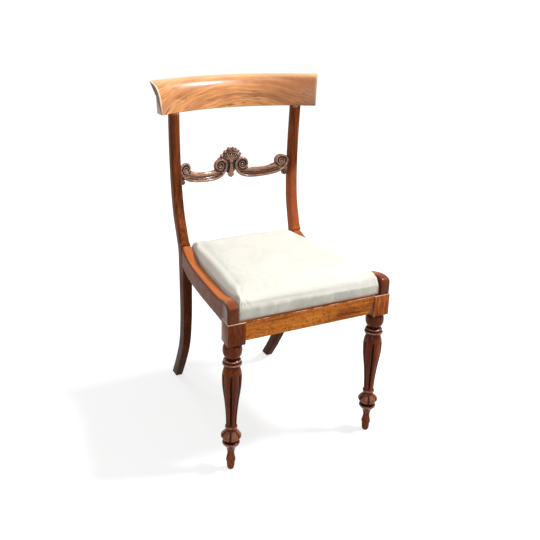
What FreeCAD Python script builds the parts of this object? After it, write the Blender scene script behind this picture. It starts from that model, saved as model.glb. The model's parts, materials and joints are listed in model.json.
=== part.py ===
"""Bar-back dining chair: carved splat rail, turned front legs, drop-in calico seat.

Frame: X across, Y from front to back, Z up, millimetres. The drawing is set out with Y = 0 on the front
face of the leg blocks, and every piece is moved so that the origin is under the middle of the chair.
Pieces are drawn on the right-hand side (+X) and mirrored.
"""
import FreeCAD, Part
import math
import os
from FreeCAD import Vector

# Overall sizes
overall_height = 870.0
crest_height = 82.0
front_width = 434.0
rail_top = 392.0
seat_run = 362.0
rear_width = 361.0

# Fits
glue_gap = 0.1
seat_gap = 2.0
rest_gap = 0.3
overrun = 5.0

# Front leg: heights above the floor and diameters
block_width = 44.6
block_height = 55.0
ball_dia = 45.3
ball_z = 310.0
ball_neck_dia = 30.0
ring_dia = 45.0
ring_z = 286.0
ring_height = 17.0
ring_points = 5
collar_dia = 36.0
baluster_top = 275.0
baluster_dia = 46.5
baluster_foot_dia = 25.0
baluster_foot_z = 123.0
baluster_shares = ((0.066, 0.84, 0.02), (0.165, 1.0, 0.80), (0.325, 0.90, 1.0), (0.565, 0.45, 0.90),
                   (0.785, 0.14, 0.75), (1.0, 0.0, 0.60))
lobe_count = 6
lobe_depth = 3.2
lobe_plain_share = 0.01
low_ring_dia = 29.5
low_ring_z = 117.0
low_ring_height = 10.0
low_neck_dia = 24.0
bulb_top = 108.0
bulb_top_dia = 27.0
bulb_dia = 47.0
bulb_z = 92.0
bulb_base_dia = 41.6
bulb_base_z = 78.0
bulb_shoulder_share = 0.84
facet_depth = 1.6
cup_neck_dia = 37.0
cup_dia = 42.0
cup_z = 74.0
cup_bottom_dia = 26.0
cup_bottom = 61.0
ankle_dia = 17.0
ankle_z = 47.0
foot_dia = 23.2
foot_z = 25.0
toe_dia = 17.0
toe_z = 12.0
floor_dia = 11.0
leg_pin_dia = 14.0
leg_pin_height = 18.0

# Front rail, its veneer and its open joint
front_rail_height = 45.0
front_rail_thick = 24.0
front_rail_setback = 0.8
veneer_thick = 1.2
veneer_lip = 1.5
open_joint = 1.2
chip_width = 17.0
chip_height = 33.0
chip_shares = ((1.0, 0.0), (0.45, 0.35), (0.30, 0.75), (0.0, 1.0))
front_tenon_length = 22.0
front_tenon_thick = 9.0
front_tenon_shoulder = 7.0

# Side rail: heights are above the floor
rail_wall = 26.0
rail_ledge = 10.0
nose_top = 435.5
nose_front = 420.0
nose_reach = 14.0
rail_waist_top = 423.0
rail_front_underside = 381.0
rail_waist_underside = 375.0
rail_rear_underside = 391.0
horn_top = 447.0
horn_end = 4.0
rail_edge_round = 6.0
side_tenon_thick = 10.0
side_tenon_length = 12.0
side_tenon_low = 400.0
side_tenon_high = 430.0
nose_share = 0.22
nose_drop_share = 0.35
rail_dip_shares = ((0.18, 0.42), (0.32, 0.75), (0.54, 0.98), (0.70, 1.0))
rail_rise_shares = ((0.84, 0.12), (0.935, 0.44))
rail_sag_shares = ((0.42, 0.35), (0.69, 0.0))
rail_lift_shares = ((0.88, 0.28), (1.0, 1.0))

# Back post: stile and sabre leg in one piece
foot_splay = 112.0
back_lean = 43.0
post_depth = 32.0
post_top_depth = 22.0
post_width = 26.0
foot_width = 19.6
foot_spread = 322.0
post_top_spread = 379.0
post_bow = 4.0
post_bend_height = 400.0
post_round = 8.0
crest_tenon_height = 24.0
crest_tenon_shoulder = 6.0
crest_tenon_setback = 8.5
lower_path_shares = ((0.0, 1.0), (0.15, 0.665), (0.35, 0.295), (0.575, 0.107), (0.825, 0.03), (1.0, 0.0))
upper_path_shares = ((0.0, 0.0), (0.08, 0.03), (0.18, 0.30), (0.31, 0.68), (0.44, 0.88), (0.57, 0.98),
                     (0.77, 1.03), (1.0, 1.0))

# Back seat rail
back_rail_height = 46.0
back_rail_thick = 24.0
back_rail_setback = 5.0
back_tenon_length = 12.0
back_tenon_thick = 9.0
back_tenon_shoulder = 8.0

# Crest rail
crest_foot_width = 441.4
crest_flare = 19.9
crest_sag = 60.0
crest_lean = 32.8
crest_thick = 31.0
crest_curl_shares = ((0.0, 0.0), (0.15, 0.045), (0.34, 0.11), (0.52, 0.19), (0.68, 0.31), (0.82, 0.50),
                     (0.92, 0.75), (0.975, 0.96))
crest_back_shares = ((0.0, 1.0), (0.15, 0.93), (0.34, 0.85), (0.52, 0.80), (0.68, 0.79), (0.80, 0.85),
                     (0.90, 1.02), (0.965, 1.25))
crest_tip_share = 1.14

# Carved middle rail: heights are below the crest's lower edge
splat_setback = 1.6
band_height = 28.0
band_thick = 13.0
band_inner_x = 36.0
band_outer_x = 131.0
band_low_drop = 181.0
band_high_drop = 173.5
band_reed_shares = (((0.0, 0.62), (0.18, 0.95), (0.36, 0.60)), ((0.36, 0.60), (0.46, 0.77), (0.56, 0.60)),
                    ((0.56, 0.60), (0.80, 0.98), (1.0, 0.55)))
scroll_thick = 13.0
scroll_rib = 5.2
scroll_relief = 3.0
scroll_turn_share = 0.74
scroll_half_turns = 4
scroll_heel_share = 0.38
reed_shares = ((-0.5, 0.7), (-0.25, 0.0), (0.25, 0.0), (0.5, 0.7))
outer_scroll_x = 141.5
outer_scroll_drop = 152.0
outer_scroll_dia = 39.0
inner_scroll_x = 32.5
inner_scroll_drop = 157.0
inner_scroll_dia = 41.0
scroll_eye_dia = 8.0
curl_x = 152.0
curl_drop = 186.0
curl_dia = 15.0
shell_top_drop = 109.0
shell_root_drop = 146.0
shell_lobes = 5
shell_lobe_length = 21.0
shell_lobe_width = 8.0
shell_spread = 116.0
shell_short_share = 0.25
petal_wide_share = 0.66
bead_dia = 11.0
bead_shares = ((0.09, 0.98), (0.30, 0.76), (0.48, 0.50))
bead_dome_shares = ((1.0, -0.3), (0.95, 0.25), (0.5, 0.7))
leaf_width = 64.0
leaf_thick = 10.0
leaf_shares = ((0.0, 1.0), (0.28, 0.92), (0.62, 0.72), (0.98, 0.40))
column_dia = 9.0
column_collar = 12.0
column_low_drop = 184.0
column_flare = 19.0
column_tip_drop = 191.0
column_taper_share = 0.76
column_neck_share = 0.72
splat_tenon_length = 11.0
splat_tenon_height = 26.0
splat_tenon_thick = 7.0

# Corner braces and screws
brace_height = 26.0
brace_drop = 1.2
brace_front_reach = 42.0
brace_side_reach = 40.0
brace_back_reach = 40.0
screw_dia = 4.0
screw_length = 34.0
screw_head_dia = 8.0
screw_head_height = 2.4
screw_spacing_share = 0.30

# Drop-in seat
seat_front = 6.0
seat_overhang = 30.0
bar_width = 45.0
bar_thick = 20.0
bar_tenon_length = 16.0
bar_tenon_thick = 8.0
cover_thick = 0.8
flange_width = 36.0
web_width = 50.0
web_thick = 1.2
web_count = 4
web_margin = 14.0
hessian_thick = 0.8
hessian_margin = 9.0
tack_dia = 8.0
tack_head = 1.0
tack_shank = 1.8
tack_shank_length = 9.0
tack_sides = 6
tack_inset = 30.0
tack_spacing = 62.0

# Pad: heights above the seat frame, at shares of the seat's run from front to back
pad_crown = 46.0
pad_edge = 37.5
pad_bulge = 1.4
pad_edge_tuck = 6.0
pad_shares = ((0.0, 0.16, 0.17), (0.018, 0.52, 0.50), (0.055, 0.80, 0.78), (0.14, 0.97, 0.92),
              (0.32, 1.0, 0.985), (0.55, 1.0, 1.0), (0.80, 0.985, 0.96), (0.93, 0.92, 0.86),
              (0.98, 0.72, 0.68), (1.0, 0.42, 0.40))

# Places that follow from the sizes above
stile_top = overall_height - crest_height
band_low_z = stile_top - band_low_drop
band_high_z = stile_top - band_high_drop
outer_scroll_z = stile_top - outer_scroll_drop
inner_scroll_z = stile_top - inner_scroll_drop
curl_z = stile_top - curl_drop
shell_top = stile_top - shell_top_drop
shell_root = stile_top - shell_root_drop
column_low = stile_top - column_low_drop
column_tip = stile_top - column_tip_drop
half_front = front_width / 2
rail_slope = (half_front - rear_width / 2) / seat_run
leg_x = half_front - block_width / 2
leg_y = block_width / 2
block_bottom = rail_top - block_height
foot_back_y = seat_run + foot_splay + post_depth
middle_y = (leg_y - baluster_dia / 2 + foot_back_y) / 2
seat_back = seat_run + seat_overhang
seat_bottom = rail_top + rest_gap
frame_bottom = seat_bottom + cover_thick
frame_top = frame_bottom + bar_thick
pad_bottom = frame_top + 2 * web_thick + hessian_thick
leaf_front = scroll_thick - leaf_thick


def value_at(shares, t):
    """Smooth curve through pairs of shares, read at t."""
    last = len(shares) - 1
    k = 0
    while k < last - 1 and t > shares[k + 1][0]:
        k += 1

    def slope(i):
        a, b = max(i - 1, 0), min(i + 1, last)
        return (shares[b][1] - shares[a][1]) / (shares[b][0] - shares[a][0])

    (t0, v0), (t1, v1) = shares[k][:2], shares[k + 1][:2]
    span = t1 - t0
    u = (t - t0) / span
    return ((1 + 2 * u) * (1 - u) ** 2 * v0 + u * (1 - u) ** 2 * span * slope(k)
            + u * u * (3 - 2 * u) * v1 - u * u * (1 - u) * span * slope(k + 1))


def spline(points, start=None, end=None):
    """Smooth curve through the points, with its end directions where they are given."""
    curve = Part.BSplineCurve()
    if start is None:
        curve.interpolate(points)
    else:
        curve.interpolate(Points=points, InitialTangent=start, FinalTangent=end)
    return curve.toShape()


def line(a, b):
    return Part.LineSegment(a, b).toShape()


def arc(a, b, c):
    return Part.Arc(a, b, c).toShape()


def face_of(edges):
    return Part.Face(Part.Wire(Part.__sortEdges__(edges)))


def polygon(points):
    return Part.Face(Part.makePolygon(points + points[:1]))


def box(x0, x1, y0, y1, z0, z1):
    return Part.makeBox(x1 - x0, y1 - y0, z1 - z0, Vector(x0, y0, z0))


def mirrored(shape):
    return shape.mirror(Vector(0, 0, 0), Vector(1, 0, 0))


def fused(shapes):
    return shapes[0].multiFuse(shapes[1:]).removeSplitter()


def largest(shape):
    return max(shape.Solids, key=lambda s: s.Volume)


def both_sides(name, shape, parts):
    parts[name + "_right"] = shape
    parts[name + "_left"] = mirrored(shape)


# Back post

def post_depth_at(z):
    if z <= post_bend_height:
        return post_depth
    t = (z - post_bend_height) / (stile_top - post_bend_height)
    return post_top_depth + (post_depth - post_top_depth) * (1 - t) ** 2


def post_centre_y(z):
    middle = seat_run + post_depth / 2
    if z <= post_bend_height:
        return middle + foot_splay * value_at(lower_path_shares, z / post_bend_height)
    t = (z - post_bend_height) / (stile_top - post_bend_height)
    return middle + back_lean * value_at(upper_path_shares, t)


def post_front_y(z):
    return post_centre_y(z) - post_depth_at(z) / 2


def post_back_y(z):
    return post_centre_y(z) + post_depth_at(z) / 2


def post_outer_x(z):
    t = z / stile_top
    return (foot_spread + (post_top_spread - foot_spread) * t) / 2 + 4 * post_bow * t * (1 - t)


def post_inner_x(z):
    width = foot_width + (post_width - foot_width) * min(z / post_bend_height, 1)
    return post_outer_x(z) - width


def heights(low, high, count):
    return [low + (high - low) * k / count for k in range(count + 1)]


def post_body():
    """Side outline and front outline, each cut through, with the stile's front edges rounded."""
    low = [Vector(0, post_front_y(z), z) for z in heights(0, rail_top, 7)]
    high = [Vector(0, post_front_y(z), z) for z in heights(horn_top, stile_top, 7)]
    back_low = [Vector(0, post_back_y(z), z) for z in heights(0, post_bend_height, 7)]
    back_high = [Vector(0, post_back_y(z), z) for z in heights(post_bend_height, stile_top, 7)]
    back = back_low + back_high[1:]
    shoulder = Vector(0, post_front_y(horn_top) + horn_end, horn_top)
    side = face_of([spline(low), line(low[-1], shoulder), line(shoulder, high[0]), spline(high),
                    line(high[-1], back[-1]), spline(back), line(back[0], low[0])])
    outer = [Vector(post_outer_x(z), 0, z) for z in heights(0, stile_top, 6)]
    inner_low = [Vector(post_inner_x(z), 0, z) for z in heights(0, post_bend_height, 4)]
    inner_high = [Vector(post_inner_x(z), 0, z) for z in heights(post_bend_height, stile_top, 4)]
    front = face_of([spline(outer), line(outer[-1], inner_high[-1]), spline(inner_high), spline(inner_low),
                     line(inner_low[0], outer[0])])
    reach = post_top_spread
    body = side.extrude(Vector(reach, 0, 0)).common(front.extrude(Vector(0, 2 * seat_run, 0)))
    body = largest(body)
    return body.makeFillet(post_round, stile_front_edges(body))


def stile_front_edges(body):
    found = []
    for edge in body.Edges:
        middle = edge.BoundBox.Center
        above_rail = edge.BoundBox.ZMin > horn_top - glue_gap and edge.BoundBox.ZLength > post_width
        if above_rail and middle.y < post_centre_y(middle.z):
            found.append(edge)
    return found


def crest_tenon():
    x0 = post_inner_x(stile_top) + crest_tenon_shoulder
    x1 = post_outer_x(stile_top) - crest_tenon_shoulder
    y0 = post_front_y(stile_top) + crest_tenon_setback
    y1 = post_back_y(stile_top) - crest_tenon_shoulder
    return box(x0, x1, y0, y1, stile_top, stile_top + crest_tenon_height)


# Side rail

def rail_outer_x(y):
    return half_front - rail_slope * y


def on_rail(y, z):
    return Vector(rail_outer_x(y), y, z)


def rail_slab(edges, inset, width):
    """A face drawn on the rail's outer plane, moved in by inset and made width thick."""
    face = face_of(edges)
    face.translate(Vector(-inset, 0, 0))
    return face.extrude(Vector(-width, 0, 0))


def rail_panel(y0, y1, z0, z1, inset, width):
    corners = [on_rail(y0, z0), on_rail(y1, z0), on_rail(y1, z1), on_rail(y0, z1)]
    edges = [line(corners[k], corners[(k + 1) % 4]) for k in range(4)]
    return rail_slab(edges, inset, width)


def side_rail(post):
    """Swept rail: nose over the leg block, ledge for the seat, horn that runs up the stile."""
    lap = block_width
    back = post_front_y(horn_top) + horn_end + side_tenon_length / 2
    sweep_y = post_front_y(horn_top)
    dip = nose_top - rail_waist_top
    rise = horn_top - rail_waist_top
    nose_drop = nose_drop_share * (nose_top - nose_front)
    top = [on_rail(0, nose_front), on_rail(nose_share * nose_reach, nose_top - nose_drop)]
    top.append(on_rail(nose_reach, nose_top))
    for along, down in rail_dip_shares:
        top.append(on_rail(along * seat_run, nose_top - down * dip))
    for along, up in rail_rise_shares:
        top.append(on_rail(along * seat_run, rail_waist_top + up * rise))
    top.append(on_rail(sweep_y, horn_top))
    sag = rail_front_underside - rail_waist_underside
    lift = rail_rear_underside - rail_waist_underside
    under = [on_rail(lap, rail_front_underside)]
    for along, up in rail_sag_shares:
        under.append(on_rail(along * seat_run, rail_waist_underside + up * sag))
    for along, up in rail_lift_shares:
        under.append(on_rail(along * seat_run, rail_waist_underside + up * lift))
    edges = [spline(top), line(on_rail(0, nose_front), on_rail(0, rail_top)),
             line(on_rail(0, rail_top), on_rail(lap, rail_top)), line(on_rail(lap, rail_top), under[0]),
             spline(under), line(under[-1], on_rail(back, rail_rear_underside)),
             line(on_rail(back, rail_rear_underside), on_rail(back, horn_top)),
             line(on_rail(back, horn_top), top[-1])]
    rail = rail_slab(edges, 0, rail_wall + rail_ledge)
    rail = rail.makeFillet(rail_edge_round, top_edges(rail))
    past_ledge = rail_ledge + overrun
    rebate = rail_panel(-overrun, back + overrun, rail_top, horn_top + overrun, rail_wall, past_ledge)
    rail = rail.cut(rebate).cut(post)
    below = rail_rear_underside - overrun
    ledge_end = rail_panel(seat_run, back + overrun, below, horn_top, rail_wall, past_ledge)
    return largest(rail.cut(ledge_end))


def top_edges(rail):
    """Long edges along the top of the rail's outer face."""
    found = []
    for edge in rail.Edges:
        centre = edge.BoundBox.Center
        long_enough = edge.BoundBox.YLength > seat_run / 2
        if long_enough and centre.z > rail_top and centre.x > rail_outer_x(centre.y) - rail_wall:
            found.append(edge)
    return found


def side_tenon():
    inset = (rail_wall - side_tenon_thick) / 2
    end = seat_run + horn_end + side_tenon_length
    return rail_panel(seat_run - overrun, end, side_tenon_low, side_tenon_high, inset, side_tenon_thick)


# Front leg

def ring_shape(z, height, dia, neck):
    """A turned ring with a half-round edge, standing on a core of the neck's diameter."""
    rim = []
    for k in range(ring_points):
        angle = math.pi * (k / (ring_points - 1) - 0.5)
        rim.append(Vector((neck + (dia - neck) * math.cos(angle)) / 2, 0, z + height / 2 * math.sin(angle)))
    low, high = Vector(0, 0, rim[0].z), Vector(0, 0, rim[-1].z)
    return turned([spline(rim), line(rim[-1], high), line(high, low), line(low, rim[0])])


def turned(edges):
    return face_of(edges).revolve(Vector(0, 0, 0), Vector(0, 0, 1), 360)


def lobed_wire(z, dia, depth):
    """One arc to each lobe: its middle stands out, and its ends lie in the grooves."""
    step = 2 * math.pi / lobe_count
    groove = dia / 2 - depth
    middle = dia / 2 if depth > 0 else dia / 2 + depth
    groove = groove if depth > 0 else dia / 2

    def at(angle, radius):
        return Vector(radius * math.sin(angle), -radius * math.cos(angle), z)

    edges = [arc(at((k - 0.5) * step, groove), at(k * step, middle), at((k + 0.5) * step, groove))
             for k in range(lobe_count)]
    return Part.Wire(edges)


def front_leg():
    """Square block, then the turning: ball, ring, lobed baluster, ring, faceted bulb, foot."""
    ball = ring_shape(ball_z, 2 * (block_bottom - ball_z), ball_dia, ball_neck_dia)
    ring = ring_shape(ring_z, ring_height, ring_dia, ball_neck_dia)
    core_low = baluster_top - overrun
    core = Part.makeCylinder(ball_neck_dia / 2, block_bottom - core_low, Vector(0, 0, core_low))
    low_ring = ring_shape(low_ring_z, low_ring_height, low_ring_dia, low_neck_dia)
    low_core = Part.makeCylinder(low_neck_dia / 2, baluster_foot_z - bulb_top, Vector(0, 0, bulb_top))
    turning = [ball, ring, core, baluster(), low_ring, low_core, bulb(), leg_foot()]
    for piece in turning:
        piece.translate(Vector(leg_x, leg_y, 0))
    pin_foot = Vector(*pin_place(), rail_top - overrun)
    pin = Part.makeCylinder(leg_pin_dia / 2, leg_pin_height + overrun, pin_foot)
    return fused([leg_block()] + turning + [pin])


def baluster():
    """Tapered body whose round top runs down into lobes."""
    span = baluster_top - baluster_foot_z
    wires = [lobed_wire(baluster_top, collar_dia, lobe_depth * lobe_plain_share)]
    for down, full, depth in baluster_shares:
        dia = baluster_foot_dia + full * (baluster_dia - baluster_foot_dia)
        wires.append(lobed_wire(baluster_top - down * span, dia, lobe_depth * depth))
    return Part.makeLoft(wires, True, False)


def bulb():
    """Round at its neck and base, with a flat to each lobe between them."""
    plain = -facet_depth * lobe_plain_share
    shoulder_dia = bulb_dia * bulb_shoulder_share
    wires = [lobed_wire(bulb_top, bulb_top_dia, plain),
             lobed_wire((bulb_top + bulb_z) / 2, shoulder_dia, -facet_depth * bulb_shoulder_share),
             lobed_wire(bulb_z, bulb_dia, -facet_depth), lobed_wire(bulb_base_z, bulb_base_dia, plain)]
    return Part.makeLoft(wires, True, False)


def pin_place():
    y = block_width / 2
    return rail_outer_x(y) - rail_wall / 2, y


def leg_block():
    """The block's outer face follows the line of the side rail."""
    inner = half_front - block_width
    base = polygon([Vector(inner, 0, block_bottom), Vector(half_front, 0, block_bottom),
                    Vector(rail_outer_x(block_width), block_width, block_bottom),
                    Vector(inner, block_width, block_bottom)])
    return base.extrude(Vector(0, 0, block_height))


def leg_foot():
    """Cup under the bulb, ankle, swelling and toe, turned in one."""
    sizes = ((cup_neck_dia, bulb_base_z), (cup_dia, cup_z), (cup_bottom_dia, cup_bottom),
             (ankle_dia, ankle_z), (foot_dia, foot_z), (toe_dia, toe_z), (floor_dia, 0))
    rim = [Vector(dia / 2, 0, z) for dia, z in sizes]
    top, floor = Vector(0, 0, bulb_base_z), Vector(0, 0, 0)
    return turned([line(top, rim[0]), line(rim[0], rim[1]), spline(rim[1:]), line(rim[-1], floor),
                   line(floor, top)])


# Front rail and veneer

def front_rail():
    half = half_front - block_width
    y0 = front_rail_setback + veneer_thick
    low = rail_top - front_rail_height
    rail = box(-half, half - open_joint, y0, y0 + front_rail_thick, low, rail_top)
    reach = half + front_tenon_length
    middle = y0 + front_rail_thick / 2
    tenon = box(-reach, reach, middle - front_tenon_thick / 2, middle + front_tenon_thick / 2,
                low + front_tenon_shoulder, rail_top - front_tenon_shoulder)
    return fused([rail, tenon]), tenon


def front_veneer():
    """Thin sheet on the rail's face, with its lower right corner broken away."""
    half = half_front - block_width
    low, high = rail_top - front_rail_height, rail_top - veneer_lip
    right = half - open_joint
    chip = [(right - across * chip_width, low + up * chip_height) for across, up in chip_shares]
    corners = [(-half, low)] + chip + [(right, high), (-half, high)]
    sheet = polygon([Vector(x, front_rail_setback, z) for x, z in corners])
    return sheet.extrude(Vector(0, veneer_thick, 0))


def back_rail(post):
    y0 = seat_run + back_rail_setback
    half = post_outer_x(rail_top)
    blank = box(-half, half, y0, y0 + back_rail_thick, rail_top - back_rail_height, rail_top)
    blank = blank.cut(post).cut(mirrored(post))
    rail = min(blank.Solids, key=lambda s: abs(s.BoundBox.Center.x))
    reach = post_inner_x(rail_top) + back_tenon_length
    middle = y0 + back_rail_thick / 2
    tenon = box(-reach, reach, middle - back_tenon_thick / 2, middle + back_tenon_thick / 2,
                rail_top - back_rail_height + back_tenon_shoulder, rail_top - back_tenon_shoulder)
    return fused([rail, tenon]), tenon


# Crest rail

def crest_radius():
    half = crest_foot_width / 2
    return (half * half + crest_sag * crest_sag) / (2 * crest_sag)


def crest_front_y():
    """Front of the crest's lower edge at the middle of the chair: flush with the stiles at the posts."""
    x = (post_inner_x(stile_top) + post_outer_x(stile_top)) / 2
    radius = crest_radius()
    return post_front_y(stile_top) + radius - math.sqrt(radius * radius - x * x)


def curve_axis():
    return Vector(0, crest_front_y() - crest_radius(), 0)


def crest_rail():
    base = crest_front_y()
    front = [Vector(0, base + crest_lean * lean, stile_top + crest_height * up)
             for up, lean in crest_curl_shares]
    back = [Vector(0, base + crest_thick * lean, stile_top + crest_height * up)
            for up, lean in crest_back_shares]
    tip = Vector(0, base + crest_lean * crest_tip_share, overall_height)
    section = face_of([spline(front), arc(front[-1], tip, back[-1]), spline(back), line(back[0], front[0])])
    half = crest_foot_width / 2
    half_angle = math.degrees(math.asin((half + crest_flare + overrun) / crest_radius()))
    section.rotate(curve_axis(), Vector(0, 0, 1), -half_angle)
    solid = section.revolve(curve_axis(), Vector(0, 0, 1), 2 * half_angle)
    edge = [Vector(half + crest_flare * lean, 0, stile_top + crest_height * up)
            for up, lean in crest_curl_shares]
    tip_x = half + crest_flare
    end = Vector(tip_x, 0, overall_height + overrun)
    mirror_edge = [Vector(-p.x, 0, p.z) for p in edge]
    end_left = Vector(-tip_x, 0, overall_height + overrun)
    outline = face_of([spline(edge), line(edge[-1], end), line(end, end_left),
                       line(end_left, mirror_edge[-1]), spline(mirror_edge), line(mirror_edge[0], edge[0])])
    return largest(solid.common(outline.extrude(Vector(0, 2 * seat_run, 0))))


# Carved middle rail

def splat_radius():
    return crest_radius() + splat_setback


def on_curve(x, radius, z):
    axis = curve_axis()
    return Vector(x, axis.y + math.sqrt(radius * radius - x * x), z)


def set_on_curve(shape, x, z):
    """Stands a shape drawn in the X-Z plane, front towards -Y, on the curved front at x and z."""
    radius = splat_radius()
    shape.rotate(Vector(0, 0, 0), Vector(0, 0, 1), -math.degrees(math.asin(x / radius)))
    shape.translate(on_curve(x, radius, z))
    return shape


def reeded_band():
    """Three reeds over a flat back, turned about the axis of the band's own slow curve."""
    radius = splat_radius() + band_thick / 2
    middle_x = (band_inner_x + band_outer_x) / 2
    start = on_curve(band_inner_x, radius, band_high_z)
    end = on_curve(band_outer_x, radius, band_high_z)
    path = arc(start, on_curve(middle_x, radius, band_low_z), end).Curve
    centre, axis = path.Center, path.Axis
    if axis.y > 0:
        axis = axis * -1
    outward = (start - centre).normalize()

    def at(up, proud):
        return start + outward * (band_height * (0.5 - up)) + axis * (band_thick * (proud - 0.5))

    edges = [arc(*[at(up, proud) for up, proud in reed]) for reed in band_reed_shares]
    first, last = at(*band_reed_shares[0][0]), at(*band_reed_shares[-1][-1])
    edges = edges + [line(last, at(1, 0)), line(at(1, 0), at(0, 0)), line(at(0, 0), first)]
    angle = math.degrees((start - centre).getAngle(end - centre))
    turn = (start - centre).cross(end - centre)
    return face_of(edges).revolve(centre, turn.normalize(), angle)


def ribbon(centre, radius, start, sweep):
    """A reed with bevelled edges, as deep as the scroll, along one arc about the centre."""
    points = []
    for across, back in reed_shares:
        points.append(Vector(radius + scroll_rib * across, scroll_relief * back, 0))
    points.append(Vector(radius + scroll_rib / 2, scroll_thick, 0))
    points.append(Vector(radius - scroll_rib / 2, scroll_thick, 0))
    solid = polygon(points).revolve(Vector(0, 0, 0), Vector(0, -1, 0), sweep)
    solid.rotate(Vector(0, 0, 0), Vector(0, -1, 0), start)
    solid.translate(Vector(centre, 0, 0))
    return solid


def scroll(dia, centre_z, hand):
    """A volute about its own centre, with its rim led in from the band's lower edge.

    hand is +1 where the rim climbs on the +X side. The rim stands proud of the disc behind it.
    """
    radius = (dia - scroll_rib) / 2
    drop = centre_z - (band_low_z - (band_height - scroll_rib) / 2)
    lead = radius - drop
    depth = Vector(0, scroll_thick - scroll_relief, 0)
    disc = Part.makeCylinder(radius, depth.y, Vector(0, scroll_relief, 0), depth)
    low, right = Vector(lead, 0, -drop), Vector(radius, 0, 0)
    left = Vector(lead, 0, -scroll_heel_share * drop)
    middle = Vector(lead + drop * math.sin(math.pi / 4), 0, -drop * math.cos(math.pi / 4))
    heel = face_of([arc(low, middle, right), line(right, Vector(0, 0, 0)), line(Vector(0, 0, 0), left),
                    line(left, low)]).extrude(depth)
    heel.translate(Vector(0, scroll_relief, 0))
    pieces = [disc, heel, ribbon(lead, drop, -90, 90)]
    end, turn = radius, 1
    for _ in range(scroll_half_turns):
        centre = end - turn * radius
        pieces.append(ribbon(centre, radius, 0 if turn > 0 else 180, 180))
        end = centre - turn * radius
        turn = -turn
        radius = radius * scroll_turn_share
    seat_of_eye = Vector(end, scroll_relief, 0)
    eye = Part.makeCone(scroll_eye_dia / 2, scroll_eye_dia / 4, scroll_relief, seat_of_eye, Vector(0, -1, 0))
    pieces.append(eye)
    return pieces if hand > 0 else [mirrored(piece) for piece in pieces]


def small_curl():
    """Round end of the stem below the outer scroll: raised rim about a sunk centre."""
    back = Vector(0, 1, 0)
    face = Vector(0, scroll_relief, 0)
    disc = Part.makeCylinder(curl_dia / 2, scroll_thick - scroll_relief, face, back)
    sunk = Part.makeCylinder((curl_dia - scroll_rib) / 2, scroll_relief, Vector(0, 0, 0), back)
    sunk.translate(Vector(0, scroll_relief / 2, 0))
    return disc.cut(sunk)


def petal(length, width, height, direction):
    """A pointed lobe of the shell: four flat faces that meet along a raised ridge."""
    across = Vector(direction.z, 0, -direction.x) * (width / 2)
    root, tip = Vector(0, 0, 0), direction * length
    widest = direction * (length * petal_wide_share)
    left, right = widest + across, widest - across
    crown = widest + Vector(0, -height, 0)
    faces = [polygon([root, left, tip, right]), polygon([root, left, crown]), polygon([left, tip, crown]),
             polygon([tip, right, crown]), polygon([right, root, crown])]
    solid = Part.makeSolid(Part.makeShell(faces))
    return solid if solid.Volume > 0 else solid.reversed()


def bead(x, z):
    """A domed bead in three bands, standing on the leaf."""
    points = [Vector(bead_dia / 2 * across, 0, bead_dia / 2 * up) for across, up in bead_dome_shares]
    points.append(Vector(0, 0, points[-1].z))
    points.append(Vector(0, 0, points[0].z))
    dome = polygon(points).revolve(Vector(0, 0, 0), Vector(0, 0, 1), 360)
    dome.rotate(Vector(0, 0, 0), Vector(1, 0, 0), 90)
    dome.translate(Vector(x, leaf_front, z))
    return dome


def shell_and_column():
    """Leaf-shaped ground, fan of lobes, beads along its edge, and the column below."""
    top = shell_top - shell_root
    half = leaf_width / 2
    low = inner_scroll_z - shell_root
    right_edge = [Vector(half * across, leaf_front, top * up) for across, up in leaf_shares]
    left_edge = [Vector(-p.x, leaf_front, p.z) for p in reversed(right_edge[1:])]
    outline = right_edge + [Vector(half, leaf_front, low), Vector(-half, leaf_front, low)] + left_edge
    pieces = [polygon(outline).extrude(Vector(0, leaf_thick, 0))]
    for k in range(shell_lobes):
        angle = math.radians(shell_spread * (k / (shell_lobes - 1) - 0.5))
        direction = Vector(math.sin(angle), 0, math.cos(angle))
        length = shell_lobe_length * (1 - shell_short_share * abs(math.sin(angle)))
        lobe = petal(length, shell_lobe_width, leaf_front, direction)
        lobe.translate(Vector(0, leaf_front, 0) + direction * (column_dia / 2))
        pieces.append(lobe)
    for across, up in bead_shares:
        for side in (-1, 1):
            pieces.append(bead(side * across * leaf_width, up * top))
    pieces = pieces + column()
    for piece in pieces:
        piece.translate(on_curve(0, splat_radius(), shell_root))
    return pieces


def column():
    """Tapered column with a collar at its head and a flared, pointed base, and the wood behind it."""
    low = column_low - shell_root
    tip = column_tip - shell_root
    half_dia, half = column_dia / 2, column_flare / 2
    shaft = Part.makeCone(half_dia, half_dia * column_taper_share, -low, Vector(0, leaf_front, low))
    collar = box(-column_collar / 2, column_collar / 2, 0, scroll_thick, -half_dia, 0)
    neck = low * column_neck_share
    outline = [Vector(-half, 0, low), Vector(0, 0, tip), Vector(half, 0, low), Vector(half_dia, 0, neck),
               Vector(-half_dia, 0, neck)]
    base = polygon(outline).extrude(Vector(0, scroll_thick, 0))
    far = inner_scroll_x - inner_scroll_dia / 2 + scroll_rib
    level = inner_scroll_z - shell_root
    ground = [Vector(-far, leaf_front, level), Vector(-half, leaf_front, low), Vector(half, leaf_front, low),
              Vector(far, leaf_front, level), Vector(far, leaf_front, 0), Vector(-far, leaf_front, 0)]
    return [shaft, collar, base, polygon(ground).extrude(Vector(0, leaf_thick, 0))]


def splat_tenon():
    inner = post_inner_x(outer_scroll_z)
    y = on_curve(inner, splat_radius(), 0).y + scroll_relief
    return box(inner - overrun, inner + splat_tenon_length, y, y + splat_tenon_thick,
               outer_scroll_z - splat_tenon_height, outer_scroll_z)


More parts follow.
